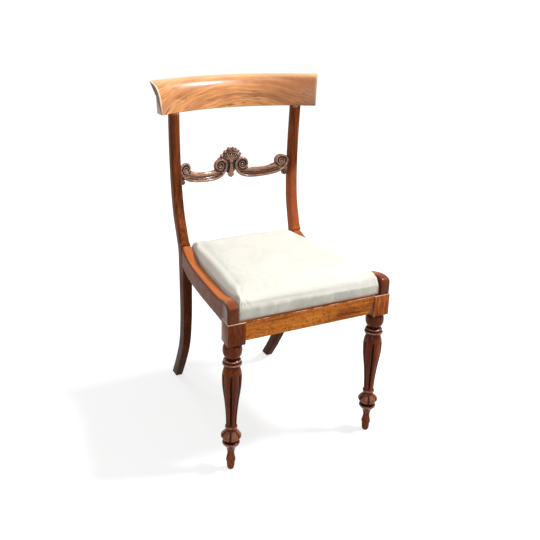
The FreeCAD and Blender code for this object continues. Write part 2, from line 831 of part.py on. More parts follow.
def splat_web():
    """Wood behind the outer scroll that carries it to the post and to the small curl."""
    inner = post_inner_x(outer_scroll_z)
    y = on_curve(inner, splat_radius(), 0).y + scroll_relief
    return box(outer_scroll_x, inner + overrun, y, y + splat_tenon_thick, curl_z, outer_scroll_z)


def middle_rail(post):
    half = [reeded_band(), splat_web(), set_on_curve(small_curl(), curl_x, curl_z)]
    for piece in scroll(outer_scroll_dia, outer_scroll_z, 1):
        half.append(set_on_curve(piece, outer_scroll_x, outer_scroll_z))
    for piece in scroll(inner_scroll_dia, inner_scroll_z, -1):
        half.append(set_on_curve(piece, inner_scroll_x, inner_scroll_z))
    shapes = half + [mirrored(piece) for piece in half] + shell_and_column()
    body = largest(shapes[0].multiFuse(shapes[1:]).cut(post).cut(mirrored(post)))
    tenon = splat_tenon()
    return fused([body, tenon, mirrored(tenon)]), tenon


# Corner braces and screws

def ledge_x(y):
    return rail_outer_x(y) - rail_wall - rail_ledge


def front_brace():
    y0 = front_rail_setback + veneer_thick + front_rail_thick
    inner = half_front - block_width
    y1 = block_width + brace_side_reach
    base = [Vector(inner, y0, 0), Vector(inner, block_width, 0), Vector(ledge_x(block_width), block_width, 0),
            Vector(ledge_x(y1), y1, 0), Vector(inner - brace_front_reach, y0, 0)]
    return raised(base)


def back_brace():
    y1 = seat_run + back_rail_setback
    y0 = seat_run - brace_side_reach
    corner_x = ledge_x(seat_run)
    base = [Vector(ledge_x(y0), y0, 0), Vector(corner_x, seat_run, 0), Vector(corner_x, y1, 0),
            Vector(corner_x - brace_back_reach, y1, 0)]
    return raised(base)


def raised(points):
    low = rail_top - brace_drop - brace_height
    face = polygon([Vector(p.x, p.y, low) for p in points])
    return face.extrude(Vector(0, 0, brace_height))


def screw(head, direction):
    """Countersunk wood screw, turned in one, its head flush with the point given."""
    wide, thin, tip = screw_head_dia / 2, screw_dia / 2, screw_length
    points = [Vector(0, 0, 0), Vector(wide, 0, 0), Vector(thin, 0, screw_head_height), Vector(thin, 0, tip),
              Vector(0, 0, tip)]
    solid = polygon(points).revolve(Vector(0, 0, 0), Vector(0, 0, 1), 360)
    solid.rotate(Vector(0, 0, 0), Vector(1, 0, 0), 90 if direction.y < 0 else -90)
    solid.translate(head)
    return solid


def brace_screws():
    """Two screws through each brace, square into the rails beside it."""
    low = rail_top - brace_drop - brace_height
    z = low + brace_height / 2
    y0 = front_rail_setback + veneer_thick + front_rail_thick
    inner = half_front - block_width
    y1 = block_width + brace_side_reach
    a = Vector(inner - brace_front_reach, y0, z)
    b = Vector(ledge_x(y1), y1, z)
    share = screw_spacing_share
    front = a + (b - a) * share
    yb = seat_run + back_rail_setback
    c = Vector(ledge_x(seat_run) - brace_back_reach, yb, z)
    d = Vector(ledge_x(seat_run - brace_side_reach), seat_run - brace_side_reach, z)
    back = c + (d - c) * share
    return [screw(front, Vector(0, -1, 0)), screw(back, Vector(0, 1, 0))]


# Drop-in seat

def seat_half(y):
    return rail_outer_x(y) - rail_wall - seat_gap


def seat_prism(inset, z0, z1):
    """The seat's tapered plan, drawn in by inset all round."""
    y0, y1 = seat_front + inset, seat_back - inset
    base = polygon([Vector(-seat_half(y0) + inset, y0, z0), Vector(seat_half(y0) - inset, y0, z0),
                    Vector(seat_half(y1) - inset, y1, z0), Vector(-seat_half(y1) + inset, y1, z0)])
    return base.extrude(Vector(0, 0, z1 - z0))


def side_zone(inset, z0, z1):
    """Everything outside the seat's side line drawn in by inset, on the right."""
    y0, y1 = seat_front - overrun, seat_back + overrun
    far = half_front + overrun
    base = polygon([Vector(seat_half(y0) - inset, y0, z0), Vector(far, y0, z0), Vector(far, y1, z0),
                    Vector(seat_half(y1) - inset, y1, z0)])
    return base.extrude(Vector(0, 0, z1 - z0))


def seat_frame():
    outer = seat_prism(cover_thick, frame_bottom, frame_top)
    ring = outer.cut(seat_prism(cover_thick + bar_width, frame_bottom - overrun, frame_top + overrun))
    zone = side_zone(cover_thick + bar_width, frame_bottom - overrun, frame_top + overrun)
    ends = ring.cut(zone).cut(mirrored(zone))
    side = ring.common(zone)
    middle = (frame_bottom + frame_top) / 2
    bars = {}
    for name, y in (("seat_frame_front", seat_front + cover_thick + bar_width / 2),
                    ("seat_frame_back", seat_back - cover_thick - bar_width / 2)):
        bar = min(ends.Solids, key=lambda s: abs(s.BoundBox.Center.y - y))
        reach = seat_half(y) - cover_thick - bar_width + bar_tenon_length
        tenon = box(-reach, reach, y - bar_width / 4, y + bar_width / 4, middle - bar_tenon_thick / 2,
                    middle + bar_tenon_thick / 2)
        bars[name] = fused([bar, tenon])
        side = side.cut(tenon)
    bars["seat_frame_right"] = side
    bars["seat_frame_left"] = mirrored(side)
    return bars


def webbing():
    """Straps across and along the frame's top: the crosswise ones lie on the lengthwise ones."""
    along, across = [], []
    y0, y1 = seat_front + web_margin, seat_back - web_margin
    pitch_x = 2 * (seat_half(seat_back) - web_margin) / web_count
    pitch_y = (y1 - y0) / web_count
    for k in range(web_count):
        x = (k - (web_count - 1) / 2) * pitch_x
        along.append(box(x - web_width / 2, x + web_width / 2, y0, y1, frame_top, frame_top + web_thick))
        y = y0 + (k + 0.5) * pitch_y
        half = seat_half(y) - web_margin
        across.append(box(-half, half, y - web_width / 2, y + web_width / 2, frame_top + web_thick,
                          frame_top + 2 * web_thick))
    return Part.makeCompound(along), Part.makeCompound(across)


def pad_form(grow, floor):
    """Crowned pad: sections across the seat, joined from front to back."""
    wires = []
    run = seat_back - seat_front
    for share, crown_share, edge_share in pad_shares:
        y = seat_front + cover_thick - grow + (run - 2 * cover_thick + 2 * grow) * share
        half = seat_half(y) - cover_thick + grow
        edge = pad_bottom + pad_edge * edge_share + grow
        top = pad_bottom + pad_crown * crown_share + grow
        tuck = half - pad_edge_tuck * min(2 * edge_share, 1) / 2
        bulge = half + pad_bulge * edge_share
        low_left, low_right = Vector(-half, y, floor), Vector(half, y, floor)
        left, right = Vector(-tuck, y, edge), Vector(tuck, y, edge)
        side_z = (floor + edge) / 2
        right_side = arc(low_right, Vector(bulge, y, side_z), right)
        left_side = arc(left, Vector(-bulge, y, side_z), low_left)
        crown = arc(right, Vector(0, y, top), left)
        wires.append(Part.Wire([line(low_left, low_right), right_side, crown, left_side]))
    return Part.makeLoft(wires, True, False)


def calico_cover():
    """Cloth over the pad, down the frame's sides and turned under it."""
    outer = seat_prism(0, seat_bottom, pad_bottom + cover_thick).fuse(pad_form(cover_thick, pad_bottom))
    inner = seat_prism(cover_thick, frame_bottom, pad_bottom + cover_thick).fuse(pad_form(0, pad_bottom))
    opening = seat_prism(flange_width, seat_bottom - overrun, frame_bottom + overrun)
    return largest(outer.cut(inner).cut(opening))


def tack_places():
    """Along each edge of the seat's underside, a set distance in."""
    y0, y1 = seat_front + tack_inset, seat_back - tack_inset
    places = []
    corners = [(-seat_half(y0) + tack_inset, y0), (seat_half(y0) - tack_inset, y0),
               (seat_half(y1) - tack_inset, y1), (-seat_half(y1) + tack_inset, y1)]
    for k in range(4):
        (ax, ay), (bx, by) = corners[k], corners[(k + 1) % 4]
        count = max(1, round(math.hypot(bx - ax, by - ay) / tack_spacing))
        for j in range(count):
            places.append((ax + (bx - ax) * j / count, ay + (by - ay) * j / count))
    return places


def cover_tacks():
    """Cut tacks: flat hammered heads and square shanks."""
    tacks, holes = [], []
    half = tack_shank / 2
    for x, y in tack_places():
        rim = []
        for k in range(tack_sides):
            angle = 2 * math.pi * k / tack_sides
            reach_x, reach_y = tack_dia / 2 * math.cos(angle), tack_dia / 2 * math.sin(angle)
            rim.append(Vector(x + reach_x, y + reach_y, seat_bottom))
        head = polygon(rim).extrude(Vector(0, 0, -tack_head))
        shank = box(x - half, x + half, y - half, y + half, seat_bottom, seat_bottom + tack_shank_length)
        tacks.append(head.fuse(shank))
        holes.append(shank)
    return Part.makeCompound(tacks), holes


def chair():
    parts = {}
    post = post_body()
    rail = side_rail(post)
    tenon = side_tenon()
    back, back_joint = back_rail(post)
    splat, splat_joint = middle_rail(post)
    crest_joint = crest_tenon()
    finished_post = post.fuse(crest_joint).cut(tenon).cut(back_joint).cut(splat_joint)
    crest = crest_rail().cut(crest_joint).cut(mirrored(crest_joint))
    pin_x, pin_y = pin_place()
    pin_foot = Vector(pin_x, pin_y, rail_top)
    pin_hole = Part.makeCylinder(leg_pin_dia / 2 + glue_gap, leg_pin_height + glue_gap, pin_foot)
    rail = rail.fuse(tenon).cut(pin_hole)
    front, front_joint = front_rail()
    leg = front_leg().cut(front_joint)
    parts["crest_rail"] = crest
    both_sides("back_post", finished_post, parts)
    parts["mid_rail"] = splat
    both_sides("side_rail", rail, parts)
    both_sides("front_leg", leg, parts)
    parts["front_rail"] = front
    parts["front_rail_veneer"] = front_veneer()
    parts["back_rail"] = back
    screws = brace_screws()
    front_corner, back_corner = front_brace(), back_brace()
    for piece in screws:
        front_corner = front_corner.cut(piece)
        back_corner = back_corner.cut(piece)
        for name in ("front_rail", "back_rail"):
            parts[name] = parts[name].cut(piece).cut(mirrored(piece))
    both_sides("front_brace", front_corner, parts)
    both_sides("back_brace", back_corner, parts)
    parts["brace_screws"] = Part.makeCompound(screws + [mirrored(s) for s in screws])
    seat(parts)
    return parts


def seat(parts):
    bars = seat_frame()
    along, across = webbing()
    tacks, holes = cover_tacks()
    cover = calico_cover()
    for hole in holes:
        cover = cover.cut(hole)
        for name in bars:
            if bars[name].BoundBox.intersect(hole.BoundBox):
                bars[name] = bars[name].cut(hole)
    parts.update(bars)
    parts["webbing_lengthwise"] = along
    parts["webbing_crosswise"] = across
    z = frame_top + 2 * web_thick
    parts["hessian"] = seat_prism(hessian_margin, z, z + hessian_thick)
    parts["stuffing"] = pad_form(0, pad_bottom)
    parts["calico_cover"] = cover
    parts["cover_tacks"] = tacks


os.makedirs("parts", exist_ok=True)
for node, shape in chair().items():
    placed = shape.copy()
    placed.translate(Vector(0, -middle_y, 0))
    placed.exportStep("parts/" + node + ".step")
    print(node, len(placed.Solids), "solid(s)", round(placed.Volume / 1000, 1), "cm3", placed.isValid())
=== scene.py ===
"""Looks of the dining chair: carved and polished wood, and a calico seat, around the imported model."""
import math

import bmesh
import bpy
import numpy as np
from mathutils import Matrix, Vector, noise
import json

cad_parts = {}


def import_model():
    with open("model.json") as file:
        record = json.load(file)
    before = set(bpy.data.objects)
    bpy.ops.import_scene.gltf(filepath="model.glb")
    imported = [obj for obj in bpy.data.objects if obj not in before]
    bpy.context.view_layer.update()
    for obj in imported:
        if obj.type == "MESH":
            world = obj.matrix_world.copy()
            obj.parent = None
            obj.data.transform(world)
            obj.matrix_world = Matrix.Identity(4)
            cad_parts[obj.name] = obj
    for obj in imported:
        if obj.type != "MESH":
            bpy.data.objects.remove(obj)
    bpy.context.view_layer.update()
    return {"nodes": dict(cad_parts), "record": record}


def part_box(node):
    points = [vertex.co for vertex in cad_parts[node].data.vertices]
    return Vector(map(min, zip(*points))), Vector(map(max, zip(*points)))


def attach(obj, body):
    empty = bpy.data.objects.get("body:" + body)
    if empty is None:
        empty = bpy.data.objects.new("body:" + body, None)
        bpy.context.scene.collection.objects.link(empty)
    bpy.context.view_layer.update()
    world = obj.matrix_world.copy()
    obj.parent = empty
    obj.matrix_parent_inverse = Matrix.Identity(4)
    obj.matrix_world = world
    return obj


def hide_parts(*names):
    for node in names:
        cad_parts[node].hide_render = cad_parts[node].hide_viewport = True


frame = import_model()

# Camera, worked out from the chair's own straight lines in the 540 x 540 photograph
IMAGE_SIDE = 540
FOCAL_PIXELS = 707.711
CENTRE_PIXEL = (233.233, 235.371)
CAMERA_PLACE = Vector((-0.81005, -1.50908, 1.08828))
CAMERA_YAW = 0.447155
CAMERA_PITCH = 0.336935
CAMERA_ROLL = -0.0146485
SENSOR_WIDTH = 36.0

# Chair sizes that the pieces here share with the solids, in metres
MIDDLE_Y = 0.252525
HALF_FRONT = 0.217
REAR_HALF = 0.1805
SEAT_RUN = 0.362
RAIL_WALL = 0.026
SEAT_GAP = 0.002
SEAT_FRONT = 0.006
SEAT_BACK = 0.392
RAIL_SLOPE = (HALF_FRONT - REAR_HALF) / SEAT_RUN
SEAT_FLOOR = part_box("calico_cover")[0].z
PAD_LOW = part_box("stuffing")[0].z
BACK_RAIL_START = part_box("back_rail")[0].y - 0.001


# Materials: colours are written as 0 to 255 in the picture

def linear(colour, share=1.0):
    """The shader's own numbers for a colour, darkened to a share of it."""
    found = [value / 255 for value in colour]
    found = [c / 12.92 if c <= 0.04045 else ((c + 0.055) / 1.055) ** 2.4 for c in found]
    return tuple(share * c for c in found) + (1.0,)


def along(grain, share):
    """Scale of a texture that is drawn out along an axis."""
    return tuple(share if axis == grain else 1.0 for axis in range(3))


class Nodes:
    """The nodes of a material or of the world, with short calls."""

    def __init__(self, holder):
        holder.use_nodes = True
        self.tree = holder.node_tree
        self.tree.nodes.clear()

    def node(self, kind, feeds=(), **settings):
        """A new node with its settings, and what goes into its inputs by name or number."""
        made = self.tree.nodes.new("ShaderNode" + kind)
        for key, value in settings.items():
            setattr(made, key, value)
        for key, value in dict(feeds).items():
            self.feed(made.inputs[key], value)
        return made

    def feed(self, socket, value):
        if isinstance(value, bpy.types.NodeSocket):
            self.tree.links.new(value, socket)
        else:
            socket.default_value = value

    def ramp(self, value, low, high, out_low=0.0, out_high=1.0):
        feeds = {"Value": value, "From Min": low, "From Max": high, "To Min": out_low, "To Max": out_high}
        return self.node("MapRange", feeds, interpolation_type="SMOOTHSTEP").outputs["Result"]

    def sum(self, kind, a, b=0.0, c=0.0, clamp=False):
        return self.node("Math", {0: a, 1: b, 2: c}, operation=kind, use_clamp=clamp).outputs["Value"]

    def times(self, a, b):
        return self.sum("MULTIPLY", a, b)

    def minus(self, a, b, clamp=False):
        return self.sum("SUBTRACT", a, b, clamp=clamp)

    def geometry(self, name):
        return self.node("NewGeometry").outputs[name]

    def vector_math(self, kind, a, b=(0, 0, 0)):
        return self.node("VectorMath", {0: a, 1: b}, operation=kind).outputs["Value"]

    def seen_directly(self):
        """1 for rays from the camera, mirrors and glass, which see the plain white background."""
        path = self.node("LightPath").outputs
        mirrored_ray = self.sum("MAXIMUM", path["Is Camera Ray"], path["Is Glossy Ray"])
        return self.sum("MAXIMUM", mirrored_ray, path["Is Transmission Ray"])


class Surface(Nodes):
    """A material of one Principled shader, whose base colour is laid on in steps."""

    def __init__(self, name, colour):
        self.name = name
        self.material = bpy.data.materials.new(name)
        super().__init__(self.material)
        self.shader = self.node("BsdfPrincipled")
        self.node("OutputMaterial", {"Surface": self.shader.outputs["BSDF"]})
        self.object_space = self.node("TexCoord").outputs["Object"]
        self.colour = colour

    def set(self, **values):
        for key, value in values.items():
            self.feed(self.shader.inputs[key.replace("_", " ")], value)

    def mapped(self, scale, turn=(0, 0, 0)):
        feeds = {"Vector": self.object_space, "Scale": scale, "Rotation": turn}
        return self.node("Mapping", feeds).outputs["Vector"]

    def noise(self, scale, detail, rough, warp=0.0, at=None):
        """Noise in the object's own space, or at a vector, or in a space scaled by three numbers."""
        vector = self.mapped(at) if isinstance(at, tuple) else at or self.object_space
        feeds = {"Vector": vector, "Scale": scale, "Detail": detail, "Roughness": rough, "Distortion": warp}
        return self.node("TexNoise", feeds).outputs["Fac"]

    def mix(self, share, a, b):
        a, b = (linear(value) if isinstance(value, tuple) and len(value) == 3 else value for value in (a, b))
        return self.node("Mix", {0: share, 6: a, 7: b}, data_type="RGBA").outputs[2]

    def tint(self, share, colour, most=None):
        """Lays a colour over the present one, by a share that may be cut down to a part of it."""
        self.colour = self.mix(self.times(share, most) if most else share, self.colour, colour)
        self.set(Base_Color=self.colour)

    def axes(self):
        return tuple(self.node("SeparateXYZ", {"Vector": self.object_space}).outputs)

    def combine(self, x, y, z):
        return self.node("CombineXYZ", {"X": x, "Y": y, "Z": z}).outputs["Vector"]

    def bump(self, height, distance, strength, after=None):
        made = self.node("Bump", {"Height": height, "Distance": distance, "Strength": strength})
        if after is not None:
            self.feed(made.inputs["Normal"], after)
        return made.outputs["Normal"]

    def facing(self, axis, low=0.45, high=0.62):
        """1 on faces that look along the axis, 0 on all others."""
        return self.ramp(self.vector_math("DOT_PRODUCT", self.geometry("True Normal"), axis), low, high)

    def painted_recess_shade(self, distance, low, high):
        """1 in corners and carved recesses, 0 on open faces, for painted shade."""
        made = self.node("AmbientOcclusion", {"Distance": distance}, samples=6, only_local=True)
        return self.ramp(made.outputs["AO"], low, high, 1.0, 0.0)

    def painted(self, name):
        return self.node("Attribute", attribute_name=name).outputs["Fac"]


ALONG_X, ALONG_Y, ALONG_Z = 0, 1, 2
# Pale edges, partly rubbed and partly painted highlight: their colour, and the pointiness range on polished
# posts and rails.
WEAR_AND_HIGHLIGHT_COLOUR = (226, 188, 160)
POLISH_WEAR_AND_HIGHLIGHT = (0.53, 0.62)
# Painted shade in recesses: reach in metres, and the occlusion levels where it is full and where it ends.
LEG_RECESS_SHADE = (0.010, 0.50, 0.96)
CARVED_RECESS_SHADE = (0.009, 0.52, 1.0)


def wood(name, pale, middle, dark, grain, gloss=0.28, coat=0.35, painted_recess_shade=None, edge_wear_and_highlight=None, wear_and_highlight=0.4,
         coat_ior=1.22):
    """Polished wood: broad bands of tone, streaks and pores along the grain, with painted shade in recesses
    and pale rubbed edges that are partly painted highlight.
    """
    s = Surface(name, dark)
    broad = s.noise(26.0, 3.0, 0.5, 0.6, along(grain, 0.22))
    streak = s.noise(260.0, 5.0, 0.62, 0.2, along(grain, 0.022))
    fine = s.noise(1100.0, 2.0, 0.6, 0.0, along(grain, 0.03))
    pores = s.ramp(s.noise(1700.0, 1.0, 0.4, 0.0, along(grain, 0.035)), 0.66, 0.76)
    tone = s.sum("MULTIPLY_ADD", streak, 0.55, s.times(broad, 0.45))
    s.tint(s.ramp(tone, 0.36, 0.50), middle)
    s.tint(s.ramp(tone, 0.50, 0.66), pale)
    s.tint(s.ramp(fine, 0.25, 0.75, 0.0, 0.22), dark)
    s.tint(pores, linear(dark, 0.35), 0.5)
    # Painted shade in corners and carved recesses.
    if painted_recess_shade:
        s.tint(s.painted_recess_shade(*painted_recess_shade), linear(dark, 0.12))
    # Pale edges where the surface is convex: partly rubbed finish, partly painted highlight.
    if edge_wear_and_highlight:
        outward_edge = s.ramp(s.geometry("Pointiness"), *edge_wear_and_highlight)
        s.tint(s.times(outward_edge, 0.8), s.mix(wear_and_highlight, pale, WEAR_AND_HIGHLIGHT_COLOUR))
    s.set(Roughness=s.ramp(s.noise(34.0, 3.0, 0.6), 0.3, 0.7, gloss - 0.07, gloss + 0.12))
    s.set(Specular_IOR_Level=0.02, Coat_Weight=coat, Coat_Roughness=0.09, Coat_IOR=coat_ior)
    ripple = s.bump(s.noise(42.0, 2.0, 0.5), 0.0012, 0.12)
    s.set(Normal=s.bump(s.minus(streak, pores), 0.0003, 0.35, ripple))
    return s


def post_wood():
    """Darker and duller below the seat, where the seat's shadow is painted, and a painted patch of sunlight,
    redder, where the right post meets the seat.
    """
    s = wood("post_wood", (172, 92, 48), (116, 58, 29), (60, 28, 15), ALONG_Z, edge_wear_and_highlight=POLISH_WEAR_AND_HIGHLIGHT)
    x, _, z = s.axes()
    s.set(Coat_Weight=s.ramp(z, 0.42, 0.34, 0.2, 0.08))
    # Painted shadow of the seat on the posts below it.
    s.tint(s.ramp(z, 0.42, 0.34, 0.0, 0.68), (52, 22, 8))
    # Painted patch of sunlight on the right post, with a ragged upper edge.
    height = s.sum("MULTIPLY_ADD", s.noise(60.0, 2.0, 0.5, 0.0, (1, 1, 0.3)), 0.10, z)
    painted_sunlit_patch = s.times(s.ramp(x, 0.05, 0.12), s.times(s.ramp(height, 0.69, 0.62), s.ramp(z, 0.40, 0.43)))
    s.tint(painted_sunlit_patch, (204, 108, 62), 0.48)
    return s


# Painted highlights on the rings: height and half width of each band, in metres.
LEG_RING_HIGHLIGHTS = ((0.2868, 0.0016), (0.2952, 0.0010), (0.1186, 0.0014), (0.0752, 0.0016))


def leg_wood():
    """Dark turned wood with painted shade in the grooves, painted highlights on the petals, ring bands and
    the block's top edge, pale rubbed edges that are partly painted highlight, and block fronts painted lit
    and more golden on the right, shaded on the left.
    """
    s = wood("leg_wood", (158, 72, 22), (112, 46, 10), (54, 23, 7), ALONG_Z,
             gloss=0.20, painted_recess_shade=LEG_RECESS_SHADE, edge_wear_and_highlight=(0.525, 0.60), wear_and_highlight=0.62)
    x, _, z = s.axes()
    # Block fronts: one wood, painted lit on the right leg's block and shaded on the left one.
    figure = s.ramp(s.noise(190.0, 4.0, 0.62, 0.0, along(ALONG_Z, 0.12)), 0.36, 0.66)
    shaded_left_block = s.mix(figure, (72, 27, 4), (134, 58, 12))
    lit_right_block = s.mix(figure, (134, 54, 12), (216, 116, 44))
    share = s.times(s.ramp(z, 0.335, 0.338), s.facing((0, -1, 0)))
    s.tint(s.times(share, 0.8), s.mix(s.ramp(x, 0.05, 0.15), shaded_left_block, lit_right_block))
    s.set(Coat_Weight=s.ramp(z, 0.333, 0.338, 0.7, 0.2))
    # Painted shade along the grooves and petal lines, and a painted highlight on the petals' faces where the
    # share is below zero.
    groove_shading = s.painted("groove_shading")
    s.tint(s.ramp(groove_shading, 0.0, 0.9, 0.0, 0.85), (26, 12, 7))
    s.tint(s.ramp(groove_shading, 0.0, -0.5, 0.0, 0.4), (170, 118, 92))
    # Painted highlights in bands across the rings, broken up by noise.
    patchy = s.ramp(s.noise(120.0, 2.0, 0.5), 0.40, 0.60, 0.25, 0.75)
    for height, half in LEG_RING_HIGHLIGHTS:
        ring_highlight = s.ramp(s.sum("ABSOLUTE", s.minus(z, height)), half, 0.3 * half)
        s.tint(s.times(ring_highlight, patchy), (208, 172, 152))
    # Painted highlight along the block's top edge, below its top face.
    block_edge_highlight = s.minus(s.ramp(z, 0.3902, 0.3912), s.facing((0, 0, 1), 0.93, 0.985), clamp=True)
    s.tint(block_edge_highlight, (240, 214, 192), 0.85)
    return s


def carved_wood():
    """Pinkish wood with painted shade in its recesses, pale rubbed tops that are partly painted highlight,
    and a broad soft shine.
    """
    s = wood("carved_wood", (236, 184, 154), (166, 114, 88), (60, 34, 25), ALONG_X, gloss=0.16, coat=1.0,
             painted_recess_shade=CARVED_RECESS_SHADE, edge_wear_and_highlight=(0.52, 0.59), wear_and_highlight=0.8, coat_ior=1.5)
    s.set(Coat_Roughness=0.17)
    return s


def rail_wood():
    """Orange tops painted as lit, more so on the left rail, faces that look left painted in shade, darker at
    the front ends, and a pale front edge that is partly rubbed, partly painted highlight.
    """
    s = wood("rail_wood", (196, 108, 54), (156, 78, 37), (98, 46, 22), ALONG_Y, edge_wear_and_highlight=POLISH_WEAR_AND_HIGHLIGHT)
    x, y, z = s.axes()
    # Painted light on faces that look up, stronger on the left rail.
    s.tint(s.times(s.facing((0, 0, 1)), s.ramp(x, 0.05, -0.05, 0.15, 0.55)), (226, 132, 74))
    # Painted shade on faces that look to the left.
    s.tint(s.times(s.facing((-1, 0, 0)), 0.6), (96, 50, 16))
    s.set(Coat_Weight=s.ramp(y, -0.205, -0.240, 0.12, 1.0))
    s.tint(s.ramp(y, -0.205, -0.240, 0.0, 0.72), (92, 40, 22))
    sideways = s.noise(240.0, 4.0, 0.6, 0.0, along(ALONG_X, 0.03))
    back = s.mix(s.ramp(sideways, 0.36, 0.64), (70, 33, 16), (134, 68, 34))
    s.tint(s.ramp(y, BACK_RAIL_START, BACK_RAIL_START + 0.001), back)
    # Pale front edge along the rails' tops: partly rubbed, partly painted highlight.
    edge = s.times(s.ramp(z, 0.3906, 0.3914), s.ramp(z, 0.3930, 0.3922))
    wear_and_highlight = s.times(edge, s.ramp(s.noise(60.0, 3.0, 0.6), 0.46, 0.56))
    wear_and_highlight = s.times(wear_and_highlight, s.ramp(y, -0.2488, -0.2502))
    s.tint(wear_and_highlight, (236, 196, 168), 0.85)
    return s


def crest_wood():
    """Golden wood with arched grain, dark veins in the lower half, a browner right end, a painted highlight
    along the top edge and pale rounded ends, partly rubbed and partly painted highlight.
    """
    brown = (140, 84, 50)
    s = Surface("crest_wood", (218, 140, 80))
    x, y, z = s.axes()
    rise = s.minus(z, 0.735)
    across = s.times(s.minus(x, 0.03), 0.42)
    away = s.sum("SQRT", s.sum("ADD", s.times(rise, rise), s.times(across, across)))
    away = s.sum("MULTIPLY_ADD", s.noise(9.0, 2.0, 0.5), 0.020, away)
    away = s.sum("MULTIPLY_ADD", s.noise(38.0, 3.0, 0.5), 0.004, away)
    arched = s.combine(s.times(x, 0.028), s.times(y, 0.05), away)
    streak = s.noise(240.0, 4.0, 0.6, at=arched)
    s.tint(s.ramp(streak, 0.34, 0.62), (250, 180, 112))
    s.tint(s.ramp(s.noise(60.0, 2.0, 0.5, at=arched), 0.46, 0.64, 0.0, 0.70), (186, 116, 76))
    s.tint(s.ramp(s.noise(900.0, 2.0, 0.6, at=arched), 0.40, 0.68, 0.0, 0.62), brown)
    patchy = s.ramp(s.noise(12.0, 2.0, 0.5), 0.36, 0.54, 0.2, 1.0)
    vein_noise = s.noise(130.0, 3.0, 0.55, at=arched)
    thin = s.ramp(s.sum("ABSOLUTE", s.minus(vein_noise, 0.55)), 0.030, 0.0)
    veins = s.sum("MAXIMUM", thin, s.ramp(vein_noise, 0.56, 0.68, 0.0, 0.45))
    low_half = s.ramp(z, 0.848, 0.812)
    s.tint(s.times(s.times(s.times(veins, low_half), patchy), 0.92), (76, 38, 22))
    s.tint(s.ramp(x, 0.0, 0.17, 0.0, 0.5), brown)
    # Painted highlight along the top edge.
    s.tint(s.ramp(z, 0.858, 0.869, 0.0, 0.6), (252, 204, 150))
    ends = s.sum("MAXIMUM", s.facing((-1, 0, 0)), s.facing((1, 0, 0)))
    s.tint(ends, (84, 42, 26), 0.92)
    # Pale line on the rounded ends, fading downwards and weaker on the right end: partly rubbed, partly
    # painted highlight.
    end_wear_and_highlight = s.times(s.painted("end_wear_and_highlight"), s.ramp(z, 0.79, 0.83, 0.25, 0.75))
    s.tint(s.minus(end_wear_and_highlight, s.facing((0, 1, 0), 0.0, 0.1), clamp=True), (255, 232, 200))
    s.set(Roughness=s.ramp(s.noise(34.0, 3.0, 0.6), 0.3, 0.7, 0.24, 0.36), Specular_IOR_Level=0.26)
    s.set(Coat_Weight=0.6, Coat_Roughness=0.29, Coat_IOR=1.36, Normal=s.bump(streak, 0.0002, 0.25))
    return s


def veneer_wood():
    """Golden veneer: fine streaks along the rail, dark figure and short cracks across it."""
    s = wood("veneer", (246, 160, 66), (214, 124, 46), (134, 64, 20), ALONG_X, coat=0.3)
    figure = s.noise(62.0, 4.0, 0.62, 1.2, s.mapped((1.0, 1.0, 1.8), (0, 0.35, 0)))
    s.tint(s.times(s.ramp(figure, 0.46, 0.70), 0.7), (118, 58, 20))
    crack = s.noise(120.0, 2.0, 0.5, 1.2, s.mapped((1.0, 1.0, 0.12), (0, 0.25, 0)))
    narrow = s.ramp(s.sum("ABSOLUTE", s.minus(crack, 0.5)), 0.016, 0.0)
    cracks = s.times(narrow, s.ramp(s.noise(36.0, 2.0, 0.5), 0.52, 0.62))
    s.tint(cracks, (52, 26, 12), 0.85)
    return s


def raw_wood(name, pale, dark):
    """Unpolished beech: matt, with short flecks."""
    s = Surface(name, dark)
    streak = s.noise(240.0, 4.0, 0.6, 0.2, along(ALONG_X, 0.05))
    fleck = s.ramp(s.noise(900.0, 1.0, 0.4, 0.0, along(ALONG_X, 0.25)), 0.64, 0.72)
    broad = s.noise(24.0, 2.0, 0.5, 0.0, along(ALONG_X, 0.3))
    s.tint(s.ramp(streak, 0.3, 0.7), pale)
    s.tint(s.ramp(broad, 0.35, 0.65, 0.0, 0.3), dark)
    s.tint(s.times(fleck, 0.35), linear(dark, 0.5))
    s.set(Roughness=s.ramp(streak, 0.3, 0.7, 0.55, 0.72), Specular_IOR_Level=0.3)
    s.set(Normal=s.bump(streak, 0.0004, 0.5))
    return s


def woven(name, colour, shade, pitch, relief, sheen=0.2, stain_and_shadow=None):
    """Plain weave: two crossed sets of threads, the over and under read from their sum."""
    s = Surface(name, shade)
    x, y, z = s.axes()
    turn = 2 * math.pi / pitch
    bend = s.times(s.noise(90.0, 2.0, 0.5), 3.0)
    threads = [s.sum("SINE", s.sum("MULTIPLY_ADD", s.sum("ADD", axis, s.times(z, slant)), turn, bend))
               for axis, slant in ((x, 0.5), (y, 0.8))]
    slubs = [s.noise(700.0, 3.0, 0.6, 0.0, along(axis, 0.12)) for axis in (ALONG_Y, ALONG_X)]
    thread = s.sum("MULTIPLY_ADD", s.times(*threads), 0.16, s.times(s.sum("ADD", *slubs), 0.5))
    s.tint(s.ramp(thread, 0.25, 0.75), colour)
    s.tint(s.ramp(s.noise(11.0, 3.0, 0.55), 0.42, 0.66, 0.0, 0.45), shade)
    if stain_and_shadow:
        stain_and_shadow(s)
    s.set(Roughness=0.88, Specular_IOR_Level=0.15, Sheen_Weight=sheen, Sheen_Roughness=0.5)
    s.set(Normal=s.bump(thread, relief, 0.5, s.bump(s.noise(60.0, 3.0, 0.55), 0.0012, 0.35)))
    return s


# Height of the painted shadow line where the cushion meets the rails.
CALICO_SHADOW_LINE = SEAT_FLOOR + 0.0022


